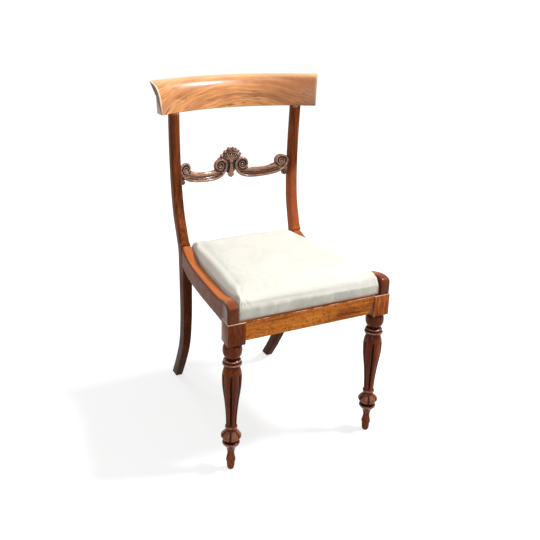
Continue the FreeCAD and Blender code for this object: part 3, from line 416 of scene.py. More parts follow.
def calico_stain_and_shadow_line(s):
    """Greyer, handled cloth along the lower border, and a painted shadow line where it meets the rails."""
    x, _, z = s.axes()
    low = s.ramp(s.sum("MULTIPLY_ADD", x, 0.035, z), 0.4262, 0.4195)
    patchy = s.ramp(s.noise(26.0, 4.0, 0.6, 0.5, (1, 1, 0.5)), 0.36, 0.62, 0.35, 1.0)
    share = s.times(s.times(low, patchy), s.ramp(x, 0.19, 0.12, 0.45, 1.0))
    s.tint(share, (176, 171, 156), 0.62)
    # Painted shadow in the gap between the cushion and the rails.
    s.tint(s.ramp(z, CALICO_SHADOW_LINE, CALICO_SHADOW_LINE - 0.0012, 0.0, 0.85), (66, 50, 42))


def hair_stuffing():
    s = Surface("stuffing", (60, 44, 30))
    curl = s.noise(420.0, 6.0, 0.7, 2.0)
    s.tint(s.ramp(curl, 0.35, 0.65), (168, 150, 122))
    s.set(Roughness=0.95, Normal=s.bump(curl, 0.002, 0.8))
    return s


def steel(name, colour, rough):
    s = Surface(name, colour)
    spots = s.noise(700.0, 4.0, 0.6)
    s.tint(s.times(s.ramp(s.noise(160.0, 3.0, 0.5), 0.55, 0.72), 0.5), (110, 62, 36))
    s.set(Roughness=s.ramp(spots, 0.3, 0.7, rough - 0.1, rough + 0.12), Metallic=1.0)
    s.set(Normal=s.bump(spots, 0.0001, 0.5))
    return s


MATERIALS = {s.name: s.material for s in (
    crest_wood(), post_wood(), carved_wood(), rail_wood(), leg_wood(), veneer_wood(),
    raw_wood("inner_wood", (190, 150, 108), (150, 108, 72)),
    raw_wood("seat_frame_wood", (206, 168, 124), (164, 122, 82)),
    steel("screw_steel", (150, 146, 140), 0.42),
    steel("tack_steel", (60, 62, 68), 0.38),
    woven("webbing", (196, 176, 140), (150, 128, 92), 0.0022, 0.0008),
    woven("hessian", (178, 152, 110), (116, 92, 58), 0.0016, 0.0008),
    hair_stuffing(),
    woven("calico", (243, 241, 232), (222, 219, 206), 0.0009, 0.00025, 0.3, calico_stain_and_shadow_line))}


# Pieces

def linked(name, data):
    made = bpy.data.objects.new(name, data)
    bpy.context.scene.collection.objects.link(made)
    return made


def dress(piece, slot):
    piece.data.materials.clear()
    piece.data.materials.append(MATERIALS[slot])


def new_piece(name, points, faces, slot, body, nodes):
    """A mesh piece in the chair's frame, riding on its body in the place of the nodes it stands for."""
    mesh = bpy.data.meshes.new(name)
    mesh.from_pydata([tuple(p) for p in points], [], [tuple(f) for f in faces])
    mesh.validate()
    mesh.update()
    mesh.shade_smooth()
    piece = linked(name, mesh)
    dress(piece, slot)
    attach(piece, body)
    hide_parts(*nodes)
    return piece


def modify(piece, kind, **settings):
    made = piece.modifiers.new(kind.title(), kind)
    for key, value in settings.items():
        setattr(made, key, value)
    return made


def apply_modifiers(piece, slot):
    """Turns what the modifiers give into the piece's own mesh, and dresses it again."""
    bpy.context.view_layer.update()
    graph = bpy.context.evaluated_depsgraph_get()
    mesh = bpy.data.meshes.new_from_object(piece.evaluated_get(graph), depsgraph=graph)
    piece.modifiers.clear()
    old = piece.data
    piece.data = mesh
    bpy.data.meshes.remove(old)
    mesh.shade_smooth()
    dress(piece, slot)


def table(items, field, width=3, kind=float):
    """A field of mesh items as an array of rows."""
    flat = np.zeros(len(items) * width, dtype=kind)
    items.foreach_get(field, flat)
    return flat.reshape(-1, width)


def move_points(mesh, where):
    mesh.vertices.foreach_set("co", where.ravel())
    mesh.update()


def eased(value, low, high):
    share = min(max((value - low) / (high - low), 0.0), 1.0)
    return share * share * (3 - 2 * share)


def bell(away, width):
    """1 at no distance, falling off smoothly over a width."""
    return math.exp(-(away / width) ** 2)


def in_pairs(loop):
    """Each item of a closed loop with the next one."""
    return zip(loop, loop[1:] + loop[:1])


def circle(steps, turn=2 * math.pi, start=0.0, last=0):
    """Cosine and sine at even steps of a turn."""
    angles = [start + turn * k / steps for k in range(steps + last)]
    return [(math.cos(angle), math.sin(angle)) for angle in angles]


def smooth_through(points, steps):
    """Points on a smooth curve through the given ones, steps to each span."""
    line = [Vector(p) for p in points]
    line = [2 * line[0] - line[1]] + line + [2 * line[-1] - line[-2]]
    found = []
    for k in range(1, len(line) - 2):
        a, b, c, d = line[k - 1:k + 3]
        for j in range(steps):
            t = j / steps
            found.append(0.5 * (2 * b + (c - a) * t + (2 * a - 5 * b + 4 * c - d) * t * t
                                + (3 * b - a - 3 * c + d) * t ** 3))
    found.append(line[-2])
    return found


def value_at(shares, t):
    """Smooth curve through pairs of shares, read at t."""
    last = len(shares) - 1
    k = 0
    while k < last - 1 and t > shares[k + 1][0]:
        k += 1

    def slope(i):
        a, b = max(i - 1, 0), min(i + 1, last)
        return (shares[b][1] - shares[a][1]) / (shares[b][0] - shares[a][0])

    (t0, v0), (t1, v1) = shares[k], shares[k + 1]
    span = t1 - t0
    u = (t - t0) / span
    return ((1 + 2 * u) * (1 - u) ** 2 * v0 + u * (1 - u) ** 2 * span * slope(k)
            + u * u * (3 - 2 * u) * v1 - u * u * (1 - u) * span * slope(k + 1))


def lofted(loops, flip=False):
    """Closed skin over equally long loops of points, with a fan over each end."""
    points = [point for loop in loops for point in loop]
    count = len(loops[0])
    last = len(points) - count
    sides = list(in_pairs(list(range(count))))
    faces = [(r + k, r + n, r + count + n, r + count + k) for r in range(0, last, count) for k, n in sides]
    for first, turned in ((0, True), (last, False)):
        centre = len(points)
        points.append(sum((Vector(p) for p in points[first:first + count]), Vector()) / count)
        faces += [(first + (n if turned else k), first + (k if turned else n), centre) for k, n in sides]
    if flip:
        faces = [tuple(reversed(face)) for face in faces]
    return points, faces


def joined(shells):
    points, faces = [], []
    for more_points, more_faces in shells:
        base = len(points)
        points.extend(more_points)
        faces.extend(tuple(base + k for k in face) for face in more_faces)
    return points, faces


def mirrored(points, faces):
    return [Vector((-p[0], p[1], p[2])) for p in points], [tuple(reversed(face)) for face in faces]


def paint(piece, name, shares):
    """A number at each point of the piece, for its material to read."""
    piece.data.attributes.new(name, "FLOAT", "POINT").data.foreach_set("value", shares)


def both_sides(name, shell, slot, node, painted=None):
    for side, (points, faces) in (("right", shell), ("left", mirrored(*shell))):
        piece = new_piece(name + "_" + side, points, faces, slot, "frame", (node + "_" + side,))
        if painted:
            paint(piece, *painted)


# Seat cushion, in metres: the hem is given as inset and height over the seat's floor
CLOTH = 0.0007
FLANGE = 0.036
CROWN_START = 0.041
EDGE_START = 0.036
FRONT_START = 0.029
FRONT_SHARE = 0.14
EDGE_ROUND = 0.013
CORNER_ROUND = 0.007
FRAME_CORNER = 0.0015
ACROSS = 64
ALONG = 66
EDGE_ROWS = 6
SIDE_ROWS = 5
PAD_SEAM = 0.008
HEM = ((0, 0.0065), (0.0006, 0.0035), (0.0018, 0.0012), (0.0034, 0.0003), (0.0046, 0), (FLANGE / 2, 0),
       (FLANGE, 0), (FLANGE, CLOTH), (FLANGE / 2, CLOTH), (0.0050, CLOTH), (CLOTH, CLOTH + 0.0065))
LINING_DROP = 0.004
LINING_LIFT = 0.0002
HELD_BAND = 0.006
CLOTH_SETTINGS = {"quality": 6, "mass": 0.3, "tension_stiffness": 18, "compression_stiffness": 18,
                  "shear_stiffness": 8, "bending_stiffness": 0.6, "use_pressure": True,
                  "uniform_pressure_force": 4.0, "vertex_group_mass": "held"}
SWELL_LIMIT = 0.008
SWELL_FRAMES = 20
SWELL_PASSES = 24
SOFT_START = 0.002
EVEN_BAND = 0.010
EVEN_SHARE = 0.5
SIDE_BULGE = 0.0042
BULGE_RISE = 0.007
BULGE_FACING = (0.2, 0.8)
WAVE = 0.0011
RIPPLE = 0.0005
FOLD = 0.0003
FOLD_BAND = 0.012
CREASE = 0.0018
CREASE_HEIGHT = 0.4235
CREASE_FALL = 0.035
CREASE_WIDTH = 0.0048
PLEAT = 0.0011
PLEAT_INSET = 0.014
PLEAT_REACH = 0.026
PLEATS_AROUND = 9
RAIL_TOP_LINE = ((0, 420), (0.039, 435.5), (0.18, 430.2), (0.32, 426.1), (0.54, 423.2), (0.70, 423),
                 (0.84, 425.9), (0.935, 433.6), (1, 447))


def seat_half(y):
    """Half the cushion's width at y, measured from the front of the leg blocks."""
    return HALF_FRONT - RAIL_SLOPE * y - RAIL_WALL - SEAT_GAP


def plan_point(side, along_share, inset, corner):
    """Point of the seat's tapered plan, side from -1 to 1 and along from 0 to 1, with round corners."""
    y0, y1 = SEAT_FRONT + inset, SEAT_BACK - inset
    y = y0 + (y1 - y0) * along_share
    half = seat_half(y) - inset
    x = side * half
    reach = max(corner - inset, 0.0)
    if reach > 0:
        in_front = along_share < 0.5
        cx = math.copysign(half - reach, x)
        cy = y0 + reach if in_front else y1 - reach
        dx, dy = x - cx, y - cy
        outside = (dx * math.copysign(1, x), -dy if in_front else dy)
        if min(outside) > 0:
            size, length = max(outside), math.hypot(dx, dy)
            x, y = cx + dx / length * size, cy + dy / length * size
    return x, y - MIDDLE_Y


def pad_height(side, along_share):
    """The unswollen pad's height over its floor: crowned, fuller towards the back."""
    dome = (1 - abs(side) ** 2.4) * (1 - abs(2 * along_share - 1) ** 2.8)
    rise = min(along_share / FRONT_SHARE, 1.0)
    edge = FRONT_START + (EDGE_START - FRONT_START) * rise * (2 - rise)
    return edge + (CROWN_START - EDGE_START) * dome


def cushion_mesh():
    """Top grid, rounded edge, sides, border turned under the frame, and the closing floor."""
    points = []

    def place(i, j, inset, corner, share, lift):
        """Adds a point of the grid, lifted from the pad's floor or from a share of its edge."""
        side, along_share = 2 * i / ACROSS - 1, j / ALONG
        z = PAD_LOW + share * (pad_height(side, along_share) - EDGE_ROUND) + lift
        points.append((*plan_point(side, along_share, inset, corner), z))
        return len(points) - 1

    cells = [(i, j) for j in range(ALONG) for i in range(ACROSS)]
    top = {(i, j): place(i, j, EDGE_ROUND, CORNER_ROUND + EDGE_ROUND, 1, EDGE_ROUND)
           for j in range(ALONG + 1) for i in range(ACROSS + 1)}
    faces = [(top[i, j], top[i + 1, j], top[i + 1, j + 1], top[i, j + 1]) for i, j in cells]

    rows = [(EDGE_ROUND * (1 - sine), CORNER_ROUND, 1, EDGE_ROUND * cosine)
            for cosine, sine in circle(EDGE_ROWS, math.pi / 2, last=1)[1:]]
    rows += [(0, CORNER_ROUND + (FRAME_CORNER - CORNER_ROUND) * k / SIDE_ROWS, 1 - k / SIDE_ROWS, 0)
             for k in range(1, SIDE_ROWS + 1)]
    turned_under = [(0, -PAD_SEAM)] + [(inset, SEAT_FLOOR + height - PAD_LOW) for inset, height in HEM]
    turned_under += [(CLOTH, -LINING_DROP), (CLOTH, LINING_LIFT)]
    rows += [(inset, FRAME_CORNER, 0, lift) for inset, lift in turned_under]

    border = [(i, 0) for i in range(ACROSS)] + [(ACROSS, j) for j in range(ALONG)]
    border += [(i, ALONG) for i in range(ACROSS, 0, -1)] + [(0, j) for j in range(ALONG, 0, -1)]
    previous = [top[spot] for spot in border]
    for row in rows:
        loop = [place(i, j, *row) for i, j in border]
        faces += [(b, a, c, d) for (a, b), (c, d) in zip(in_pairs(previous), in_pairs(loop))]
        previous = loop

    low = dict(zip(border, previous))
    for j in range(1, ALONG):
        for i in range(1, ACROSS):
            low[i, j] = place(i, j, CLOTH, FRAME_CORNER, 0, LINING_LIFT)
    faces += [(low[i, j], low[i, j + 1], low[i + 1, j + 1], low[i + 1, j]) for i, j in cells]
    return points, faces


def spread_evenly(mesh, step, start):
    """Evens out the buckles in the cloth's movement and keeps the shape that it started from."""
    a, b = table(mesh.edges, "vertices", 2, int).T
    count = np.bincount(np.append(a, b), minlength=len(step))
    share = EVEN_SHARE * np.clip((start[:, 2] - PAD_LOW - SOFT_START) / EVEN_BAND, 0.0, 1.0)
    for _ in range(SWELL_PASSES):
        total = np.zeros_like(step)
        np.add.at(total, a, step[b])
        np.add.at(total, b, step[a])
        step += (total / count[:, None] - step) * share[:, None]


def swell(piece):
    """Inflates the cloth above the seat frame, and limits how far each point may move."""
    start = table(piece.data.vertices, "co")
    held = piece.vertex_groups.new(name="held")
    for k, point in enumerate(start):
        held.add([k], min(max((PAD_LOW + HELD_BAND - point[2]) / HELD_BAND, 0.0), 1.0), "REPLACE")
    cloth = modify(piece, "CLOTH")
    for key, value in CLOTH_SETTINGS.items():
        setattr(cloth.settings, key, value)
    cloth.settings.effector_weights.gravity = 0.0
    cloth.collision_settings.use_collision = False
    cloth.point_cache.frame_end = SWELL_FRAMES
    for moment in range(1, SWELL_FRAMES + 1):
        bpy.context.scene.frame_set(moment)
    apply_modifiers(piece, "calico")
    bpy.context.scene.frame_set(1)
    step = table(piece.data.vertices, "co") - start
    length = np.linalg.norm(step, axis=1, keepdims=True)
    step *= np.minimum(1.0, SWELL_LIMIT / np.maximum(length, 1e-9))
    spread_evenly(piece.data, step, start)
    move_points(piece.data, start + step)


def side_rail_top(y):
    """Height of the side rail's top at y, measured from the front of the leg blocks."""
    return value_at(RAIL_TOP_LINE, min(max(y / SEAT_RUN, 0.0), 1.0)) / 1000


def crease_cushion(mesh):
    """Border crease along the front, pleats at the corners and small folds in the cloth."""
    where = table(mesh.vertices, "co")
    normals = table(mesh.vertices, "normal")
    moved = where.copy()
    for k, (x, y, z) in enumerate(where):
        if z < PAD_LOW + SOFT_START:
            continue
        out = WAVE * noise.noise(Vector((x * 14, y * 14, z * 14)))
        out += RIPPLE * noise.noise(Vector((x * 55, y * 55, z * 30 + 7)))
        over_rail = z - side_rail_top(y + MIDDLE_Y)
        out += SIDE_BULGE * eased(over_rail, 0.0, BULGE_RISE) * eased(abs(normals[k][0]), *BULGE_FACING)
        facing_front = max(0.0, -normals[k][1])
        out -= CREASE * facing_front * bell(z - CREASE_HEIGHT + CREASE_FALL * x, CREASE_WIDTH)
        out += FOLD * facing_front * noise.noise(Vector((x * 190, 3.0, z * 26)))
        for sign in (-1, 1):
            dx = x - sign * (seat_half(SEAT_FRONT) - PLEAT_INSET)
            dy = y - (SEAT_FRONT - MIDDLE_Y + PLEAT_INSET)
            near = bell(math.hypot(dx, dy), PLEAT_REACH)
            out += PLEAT * near * math.sin(math.atan2(dy, dx) * PLEATS_AROUND + sign)
        moved[k] = where[k] + normals[k] * out * min((z - PAD_LOW) / FOLD_BAND, 1.0)
    move_points(mesh, moved)


def cushion():
    piece = new_piece("seat_cushion", *cushion_mesh(), "calico", "seat", ("calico_cover", "stuffing"))
    swell(piece)
    modify(piece, "SUBSURF", levels=1, render_levels=1)
    apply_modifiers(piece, "calico")
    crease_cushion(piece.data)


# Front legs, in millimetres: height above the floor and radius, a new list at each crisp edge
LEG_BLOCK = 44.6
LEG_BLOCK_SPAN = (337, 392)
LEG_BLOCK_BEVEL = 1.1
LEG_STEPS = 5
LEG_AROUND = 144
LOBES = 6
LOBE_HOLLOW = 0.45
LOBE_RADIUS = 23
GROOVE_DEPTH = 4.2
GROOVE_WIDTH = 0.115
GROOVE_TOP = (257, 264)
GROOVE_FLARE = (236, 258)
GROOVE_LOW = (121, 126)
# Painted shade along the grooves: its width as a share of the groove's width.
GROOVE_SHADE_SHARE = 0.6
PETAL_DEPTH = 3
PETAL_WIDTH = 0.13
# Width of the painted shade along the petal lines, and the share of painted highlight on the petals' faces.
PETAL_SHADE_LINE = 0.10
PETAL_HIGHLIGHT = 0.525
PETAL_LOW = (80.2, 84)
PETAL_HIGH = (103, 112)
LEG_PROFILE = (
    ((338, 13.6), (336.6, 16.6), (333.5, 19.4), (328.5, 21.7), (322.5, 22.8), (315.5, 22.7), (309, 21.2),
     (304, 18.7), (300.4, 16), (298.6, 14.8)),
    ((298.4, 15.2), (296.8, 17.6), (294.8, 20.2), (293, 20.9), (291.6, 20.2), (291, 19.6)),
    ((290.8, 19.8), (289.2, 21.4), (287, 22.7), (284.6, 22.8), (282.4, 21.6), (280.6, 19), (279.6, 17.2)),
    ((279, 17), (276.5, 17.9), (271, 20.2), (265, 21.8), (257, 23), (249.9, 23.25), (238, 23),
     (225.6, 22.2), (207, 19.8), (189.1, 17.3), (171, 15.4), (155.7, 14), (139, 13), (123, 12.5)),
    ((122.6, 12.4), (121.4, 13.6), (119.4, 14.6), (117, 14.75), (114.8, 14.4), (113, 13.3), (112.4, 12.2)),
    ((112.2, 12), (109.5, 12.4), (106.5, 14.2), (103, 17.8), (99.5, 21.6), (96, 24), (92.5, 24.4),
     (89, 23), (85.8, 20.6), (82.6, 17.4), (80.4, 15)),
    ((80, 14.8), (78.6, 18.2), (76.6, 20.4), (74.6, 21), (72.4, 20.5), (69, 17.8), (65.5, 14.6),
     (61, 12.2), (55, 10), (50, 8.9), (47, 8.5), (42, 8.7), (36, 9.8), (30, 11.2), (25, 11.6), (22.8, 10.8)),
    ((22.4, 9.9), (20, 10.1), (14, 9.8), (8, 9.3), (4.2, 8.5), (1.8, 7.4), (0.5, 6.3), (0, 5.5)))


def carved_radius(z, radius, angle):
    """The turned radius less the grooves between lobes and petals, and a share of painted shade along the
    grooves, less a painted highlight on the petals' faces.
    """
    half = math.pi / LOBES
    local = abs((angle + half) % (2 * half) - half)
    to_groove = half - local
    body = eased(z, *GROOVE_LOW) * (1 - eased(z, *GROOVE_TOP))
    width = GROOVE_WIDTH * (1 + 0.35 * (1 - radius / LOBE_RADIUS) + 0.9 * eased(z, *GROOVE_FLARE) ** 2)
    petal = eased(z, *PETAL_LOW) * (1 - eased(z, *PETAL_HIGH))
    petal_shade_line = bell(to_groove, PETAL_SHADE_LINE)
    cut = GROOVE_DEPTH * body * bell(to_groove, width)
    cut += LOBE_HOLLOW * body * (local / half) ** 2
    cut += PETAL_DEPTH * petal * bell(to_groove, PETAL_WIDTH)
    # Painted shade along the groove and petal lines, less a painted highlight on the petals' faces.
    line = max(body * bell(to_groove, GROOVE_SHADE_SHARE * width), petal * petal_shade_line)
    return radius - cut, line - PETAL_HIGHLIGHT * petal * (1 - petal_shade_line)


def leg_turning():
    place = Vector((HALF_FRONT - LEG_BLOCK / 2000, LEG_BLOCK / 2000 - MIDDLE_Y, 0))
    loops, groove_shading_shares = [], []
    for z, radius in [point for part in LEG_PROFILE for point in smooth_through(part, LEG_STEPS)]:
        loop = []
        for k, (cosine, sine) in enumerate(circle(LEG_AROUND)):
            # The second number is the painted shade of the grooves, less the petals' painted highlight.
            size, depth = carved_radius(z, radius, 2 * math.pi * k / LEG_AROUND)
            size /= 1000
            loop.append(place + Vector((size * sine, -size * cosine, z / 1000)))
            groove_shading_shares.append(depth)
        loops.append(loop)
    points, faces = lofted(loops, flip=True)
    return (points, faces), groove_shading_shares + [0.0] * (len(points) - len(groove_shading_shares))


def leg_block():
    """Square block whose outer face follows the side rail, with its edges eased."""
    bm = bmesh.new()
    depth = LEG_BLOCK / 1000
    inner = HALF_FRONT - depth
    plan = ((inner, 0.0), (HALF_FRONT, 0.0), (HALF_FRONT - RAIL_SLOPE * depth, depth), (inner, depth))
    low, high = [[bm.verts.new((x, y - MIDDLE_Y, z / 1000)) for x, y in plan] for z in LEG_BLOCK_SPAN]
    bm.faces.new(low[::-1])
    bm.faces.new(high)
    for (a, b), (c, d) in zip(in_pairs(low), in_pairs(high)):
        bm.faces.new((a, b, d, c))
    bmesh.ops.bevel(bm, geom=bm.edges[:], offset=LEG_BLOCK_BEVEL / 1000, segments=3, profile=0.5,
                    affect="EDGES")
    bm.verts.index_update()
    shell = [v.co.copy() for v in bm.verts], [tuple(v.index for v in f.verts) for f in bm.faces]
    bm.free()
    return shell


def front_legs():
    block = leg_block()
    turning, groove_shading_shares = leg_turning()
    # Each point of the turning carries its painted groove shade and petal highlight for the material.
    both_sides("front_leg_carved", joined([block, turning]), "leg_wood", "front_leg",
               ("groove_shading", [0.0] * len(block[0]) + groove_shading_shares))


# Back posts, in millimetres
STILE_TOP = 788
RAIL_TOP = 392
HORN_TOP = 447
HORN_END = 4
FOOT_SPLAY = 112
BACK_LEAN = 43
POST_DEPTH = 32
POST_TOP_DEPTH = 22
POST_WIDTH = 26
FOOT_WIDTH = 19.6
FOOT_SPREAD = 322
POST_TOP_SPREAD = 379
POST_BOW = 4
POST_BEND = 400
POST_ROUND = 8
POST_ROUND_RISE = 12
POST_EASE = 1.8
POST_BACK_EASE = 2.6
POST_ROWS = 130
POST_CORNER_STEPS = 6
TOE_EASE = 1.2
TOE_HEIGHT = 2.2
LOWER_PATH = ((0, 1), (0.15, 0.665), (0.35, 0.295), (0.575, 0.107), (0.825, 0.03), (1, 0))
UPPER_PATH = ((0, 0), (0.08, 0.03), (0.18, 0.30), (0.31, 0.68), (0.44, 0.88), (0.57, 0.98), (0.77, 1.03),
              (1, 1))


def post_sides(z):
    """Inner and outer X, front and back Y of the post at a height."""
    middle = SEAT_RUN * 1000 + POST_DEPTH / 2
    depth = POST_DEPTH
    if z <= POST_BEND:
        centre = middle + FOOT_SPLAY * value_at(LOWER_PATH, z / POST_BEND)
    else:
        t = (z - POST_BEND) / (STILE_TOP - POST_BEND)
        centre = middle + BACK_LEAN * value_at(UPPER_PATH, t)
        depth = POST_TOP_DEPTH + (POST_DEPTH - POST_TOP_DEPTH) * (1 - t) ** 2
    share = z / STILE_TOP
    outer = (FOOT_SPREAD + (POST_TOP_SPREAD - FOOT_SPREAD) * share) / 2 + 4 * POST_BOW * share * (1 - share)
    inner = outer - (FOOT_WIDTH + (POST_WIDTH - FOOT_WIDTH) * min(z / POST_BEND, 1))
    return inner, outer, centre - depth / 2, centre + depth / 2


def post_front(z):
    """The front is cut back behind the side rail's horn."""
    if RAIL_TOP < z < HORN_TOP:
        low, high = post_sides(RAIL_TOP)[2], post_sides(HORN_TOP)[2] + HORN_END
        return low + (high - low) * (z - RAIL_TOP) / (HORN_TOP - RAIL_TOP)
    return post_sides(z)[2]


def rounded_rectangle(x0, x1, y0, y1, front_round, back_round):
    """Corner arcs joined by straight sides, counted anticlockwise from the front left corner."""
    loop = []
    corners = ((x0, y0, front_round, 1.0), (x1, y0, front_round, 1.5), (x1, y1, back_round, 0.0),
               (x0, y1, back_round, 0.5))
    for x, y, size, half_turns in corners:
        cx = x + size if x == x0 else x - size
        cy = y + size if y == y0 else y - size
        arc = circle(POST_CORNER_STEPS, math.pi / 2, half_turns * math.pi, last=1)
        loop += [(cx + size * cosine, cy + size * sine) for cosine, sine in arc]
    return loop


def back_posts():
    heights = [STILE_TOP * k / POST_ROWS for k in range(POST_ROWS + 1)]
    heights += [0.5, 1.2, TOE_HEIGHT, RAIL_TOP, HORN_TOP - 0.05, HORN_TOP + 0.05, HORN_TOP + 4, HORN_TOP + 9]
    loops = []
    for z in sorted(heights):
        inner, outer, _, back = post_sides(z)
        size = POST_EASE + (POST_ROUND - POST_EASE) * eased(z, HORN_TOP, HORN_TOP + POST_ROUND_RISE)
        toe = TOE_EASE * (1 - eased(z, 0.0, TOE_HEIGHT))
        front = post_front(z) + toe
        loop = rounded_rectangle(inner + toe, outer - toe, front, back - toe, size, POST_BACK_EASE)
        loops.append([Vector((x / 1000, y / 1000 - MIDDLE_Y, z / 1000)) for x, y in loop])
    both_sides("back_post_shaped", lofted(loops), "post_wood", "back_post")


# Crest rail, in millimetres
CREST_HEIGHT = 82
CREST_FOOT_HALF = 220.7
CREST_FLARE = 19.9
CREST_SAG = 60
CREST_LEAN = 32.8
CREST_THICK = 31
CREST_TIP = 1.14
CREST_CURL = ((0, 0), (0.15, 0.045), (0.34, 0.11), (0.52, 0.19), (0.68, 0.31), (0.82, 0.50), (0.92, 0.75),
              (0.975, 0.96))
CREST_BACK = ((0, 1), (0.15, 0.93), (0.34, 0.85), (0.52, 0.80), (0.68, 0.79), (0.80, 0.85), (0.90, 1.02),
              (0.965, 1.25))
CREST_STEPS = 6
CREST_COLUMNS = 150
CREST_CORNER_STEPS = 5
CREST_LOW_ROUND = 2.6
CREST_END_ROUND = 1.6
CREST_FRONT_INSET = 0.35
CREST_BACK_INSET = 0.3
# Rings of the end rounding with the pale line, partly rubbed and partly painted highlight, and its share on
# the right end.
CREST_END_WEAR_AND_HIGHLIGHT_RINGS = (1, 6)
CREST_RIGHT_WEAR_AND_HIGHLIGHT = 0.3
CREST_RADIUS = (CREST_FOOT_HALF ** 2 + CREST_SAG ** 2) / (2 * CREST_SAG)


def crest_front():
    """Y of the lower front edge in the middle: flush with the stiles at the posts."""
    inner, outer, front, _ = post_sides(STILE_TOP)
    x = (inner + outer) / 2
    return front + CREST_RADIUS - math.sqrt(CREST_RADIUS * CREST_RADIUS - x * x)


def crest_section():
    """Loop of (offset behind the lower front edge, height over the stiles)."""
    front = [(CREST_LEAN * lean, CREST_HEIGHT * up) for up, lean in CREST_CURL]
    back = [(CREST_THICK * lean, CREST_HEIGHT * up) for up, lean in CREST_BACK]
    low = CREST_LOW_ROUND
    outline = [(CREST_FRONT_INSET, low)] + front[1:] + [(CREST_LEAN * CREST_TIP, CREST_HEIGHT)]
    outline += back[:0:-1] + [(CREST_THICK - CREST_BACK_INSET, low)]
    arc = circle(CREST_CORNER_STEPS, math.pi / 2)
    loop = smooth_through(outline, CREST_STEPS)
    loop += [(CREST_THICK - low + low * cosine, low - low * sine) for cosine, sine in arc[1:]]
    return loop + [(low - low * sine, low - low * cosine) for cosine, sine in arc]


def shrunk(loop, size):
    """The loop drawn in square to itself."""
    found = []
    for k, (x, z) in enumerate(loop):
        before, after = loop[k - 1], loop[(k + 1) % len(loop)]
        dx, dz = after[0] - before[0], after[1] - before[1]
        length = math.hypot(dx, dz) or 1.0
        found.append((x + dz / length * size, z - dx / length * size))
    return found


def crest_rail():
    axis = crest_front() - CREST_RADIUS
    base = crest_section()
    ease = CREST_END_ROUND
    arc = [(ease * (1 - sine), ease * (1 - cosine))
           for cosine, sine in circle(CREST_CORNER_STEPS, math.pi / 2, last=1)]
    stations = [(-1.0, *drawn) for drawn in arc]
    stations += [(2.0 * k / CREST_COLUMNS - 1.0, 0.0, ease) for k in range(1, CREST_COLUMNS)]
    stations += [(1.0, *drawn) for drawn in reversed(arc)]
    loops, shares = [], []
    for k, (share, draw_in, short) in enumerate(stations):
        loop = []
        for offset, up in shrunk(base, draw_in) if draw_in > 1e-6 else base:
            lean = value_at(CREST_CURL, min(up / CREST_HEIGHT, CREST_CURL[-1][0]))
            end = CREST_FOOT_HALF + CREST_FLARE * lean
            x = max(short - end, min(end - short, share * end))
            y = axis + math.sqrt((CREST_RADIUS + offset) ** 2 - x * x)
            loop.append(Vector((x / 1000, y / 1000 - MIDDLE_Y, (STILE_TOP + up) / 1000)))
        loops.append(loop)
        # The end rounding carries the pale line for the material: partly rubbed, partly painted highlight.
        wear_and_highlight = CREST_END_WEAR_AND_HIGHLIGHT_RINGS[0] <= min(k, len(stations) - 1 - k) <= CREST_END_WEAR_AND_HIGHLIGHT_RINGS[1]
        shares += [float(wear_and_highlight) if k < len(stations) / 2 else CREST_RIGHT_WEAR_AND_HIGHLIGHT * wear_and_highlight] * len(base)
    points, faces = lofted(loops)
    piece = new_piece("crest_rail_shaped", points, faces, "crest_wood", "frame", ("crest_rail",))
    paint(piece, "end_wear_and_highlight", shares + [0.0] * (len(points) - len(shares)))


# Middle rail, in millimetres: carved flat, then bent to the curve of the back
CARVING_VOXEL = 0.0007
CARVING_PASSES = 2
CARVING_SETBACK = 1.6
CARVING_BACK = 9
VOLUTE_FALL = 0.50
VOLUTE_TURNS = 2
VOLUTE_STEPS = 72
INNER_VOLUTE = (33, 631, 18.6)
OUTER_VOLUTE = (142.5, 635.5, 17.2)
RIM_WIDE = 7
RIM_NARROW = 3.2
RIM_ROUND = 3.4
RIM_TAPER_SHARES = (0.04, 0.34)
RIM_FRONT = -0.4
REED_STEPS = 8
LOWER_REED = ((17, 618), (25.5, 605.5), (41, 597.6), (63, 594.8), (90, 596.2), (117, 600.4), (137, 606.8),
              (151, 618.5))
BAND_TOP = ((24, 614), (34, 620), (46, 621.5), (62, 619.4), (86, 619.3), (108, 622.5), (121, 628), (134, 632),
            (148, 626))
BAND_SECTION = ((0, 6.4), (0.16, 5.8), (0.23, 4.4), (0.30, 4.3), (0.37, 5.8), (0.45, 4.2), (0.56, 1.8),
                (0.70, 0.6), (0.83, 1.2), (0.93, 3.2), (1, 6.4))
BAND_COLUMNS = 110
BAND_LEAST = 3
BAND_BACK = 8
PATH_STEPS = 9
SECTION_STEPS = 4
VOLUTE_GROUND = 4.8
VOLUTE_EYE = 4
VOLUTE_LIP = 0.6
VOLUTE_CORE = 0.5
VOLUTE_SINK = 1.4
DISC_STEPS = 48
CURL = (152, 602, 5.2)
CURL_STEPS = 36
CURL_RIM = 3.2
CURL_FRONT = 0.4
CURL_EYE = 2.4
EYE_DEPTH = 3.2
WEB = ((146, 606), (160.6, 606), (160.6, 628), (150, 628))
LEAF = ((-31, 644), (-34, 655), (-22, 667), (-9, 676), (0, 678), (11, 675), (21, 669), (30, 659.5), (28, 650),
        (20, 642))
LEAF_FRONT = 5.4
PANEL = ((-17, 618), (-10, 607), (0, 603), (10, 607), (17, 618), (17, 650), (-17, 650))
PANEL_FRONT = 8.4
FAN_ROOT = (0, 640.5)
FAN_LOBES = 7
FAN_SPREAD = 108
FAN_LENGTH = 22.5
FAN_WIDTH = 6
FAN_RELIEF = 5.2
HOOD_RADIUS = 25.2
HOOD_WIDTH = 2.6
HOOD_FRONT = 1.8
HOOD_HALF_TURN = 62
HOOD_STEPS = 12
BEADS = ((-7, 675.5, 5.4), (-18.5, 668, 5.2), (-29, 658, 5), (-36.5, 650.5, 3.6))
BEAD_STEM_SHARE = 0.8
BEAD_RISE = 0.6
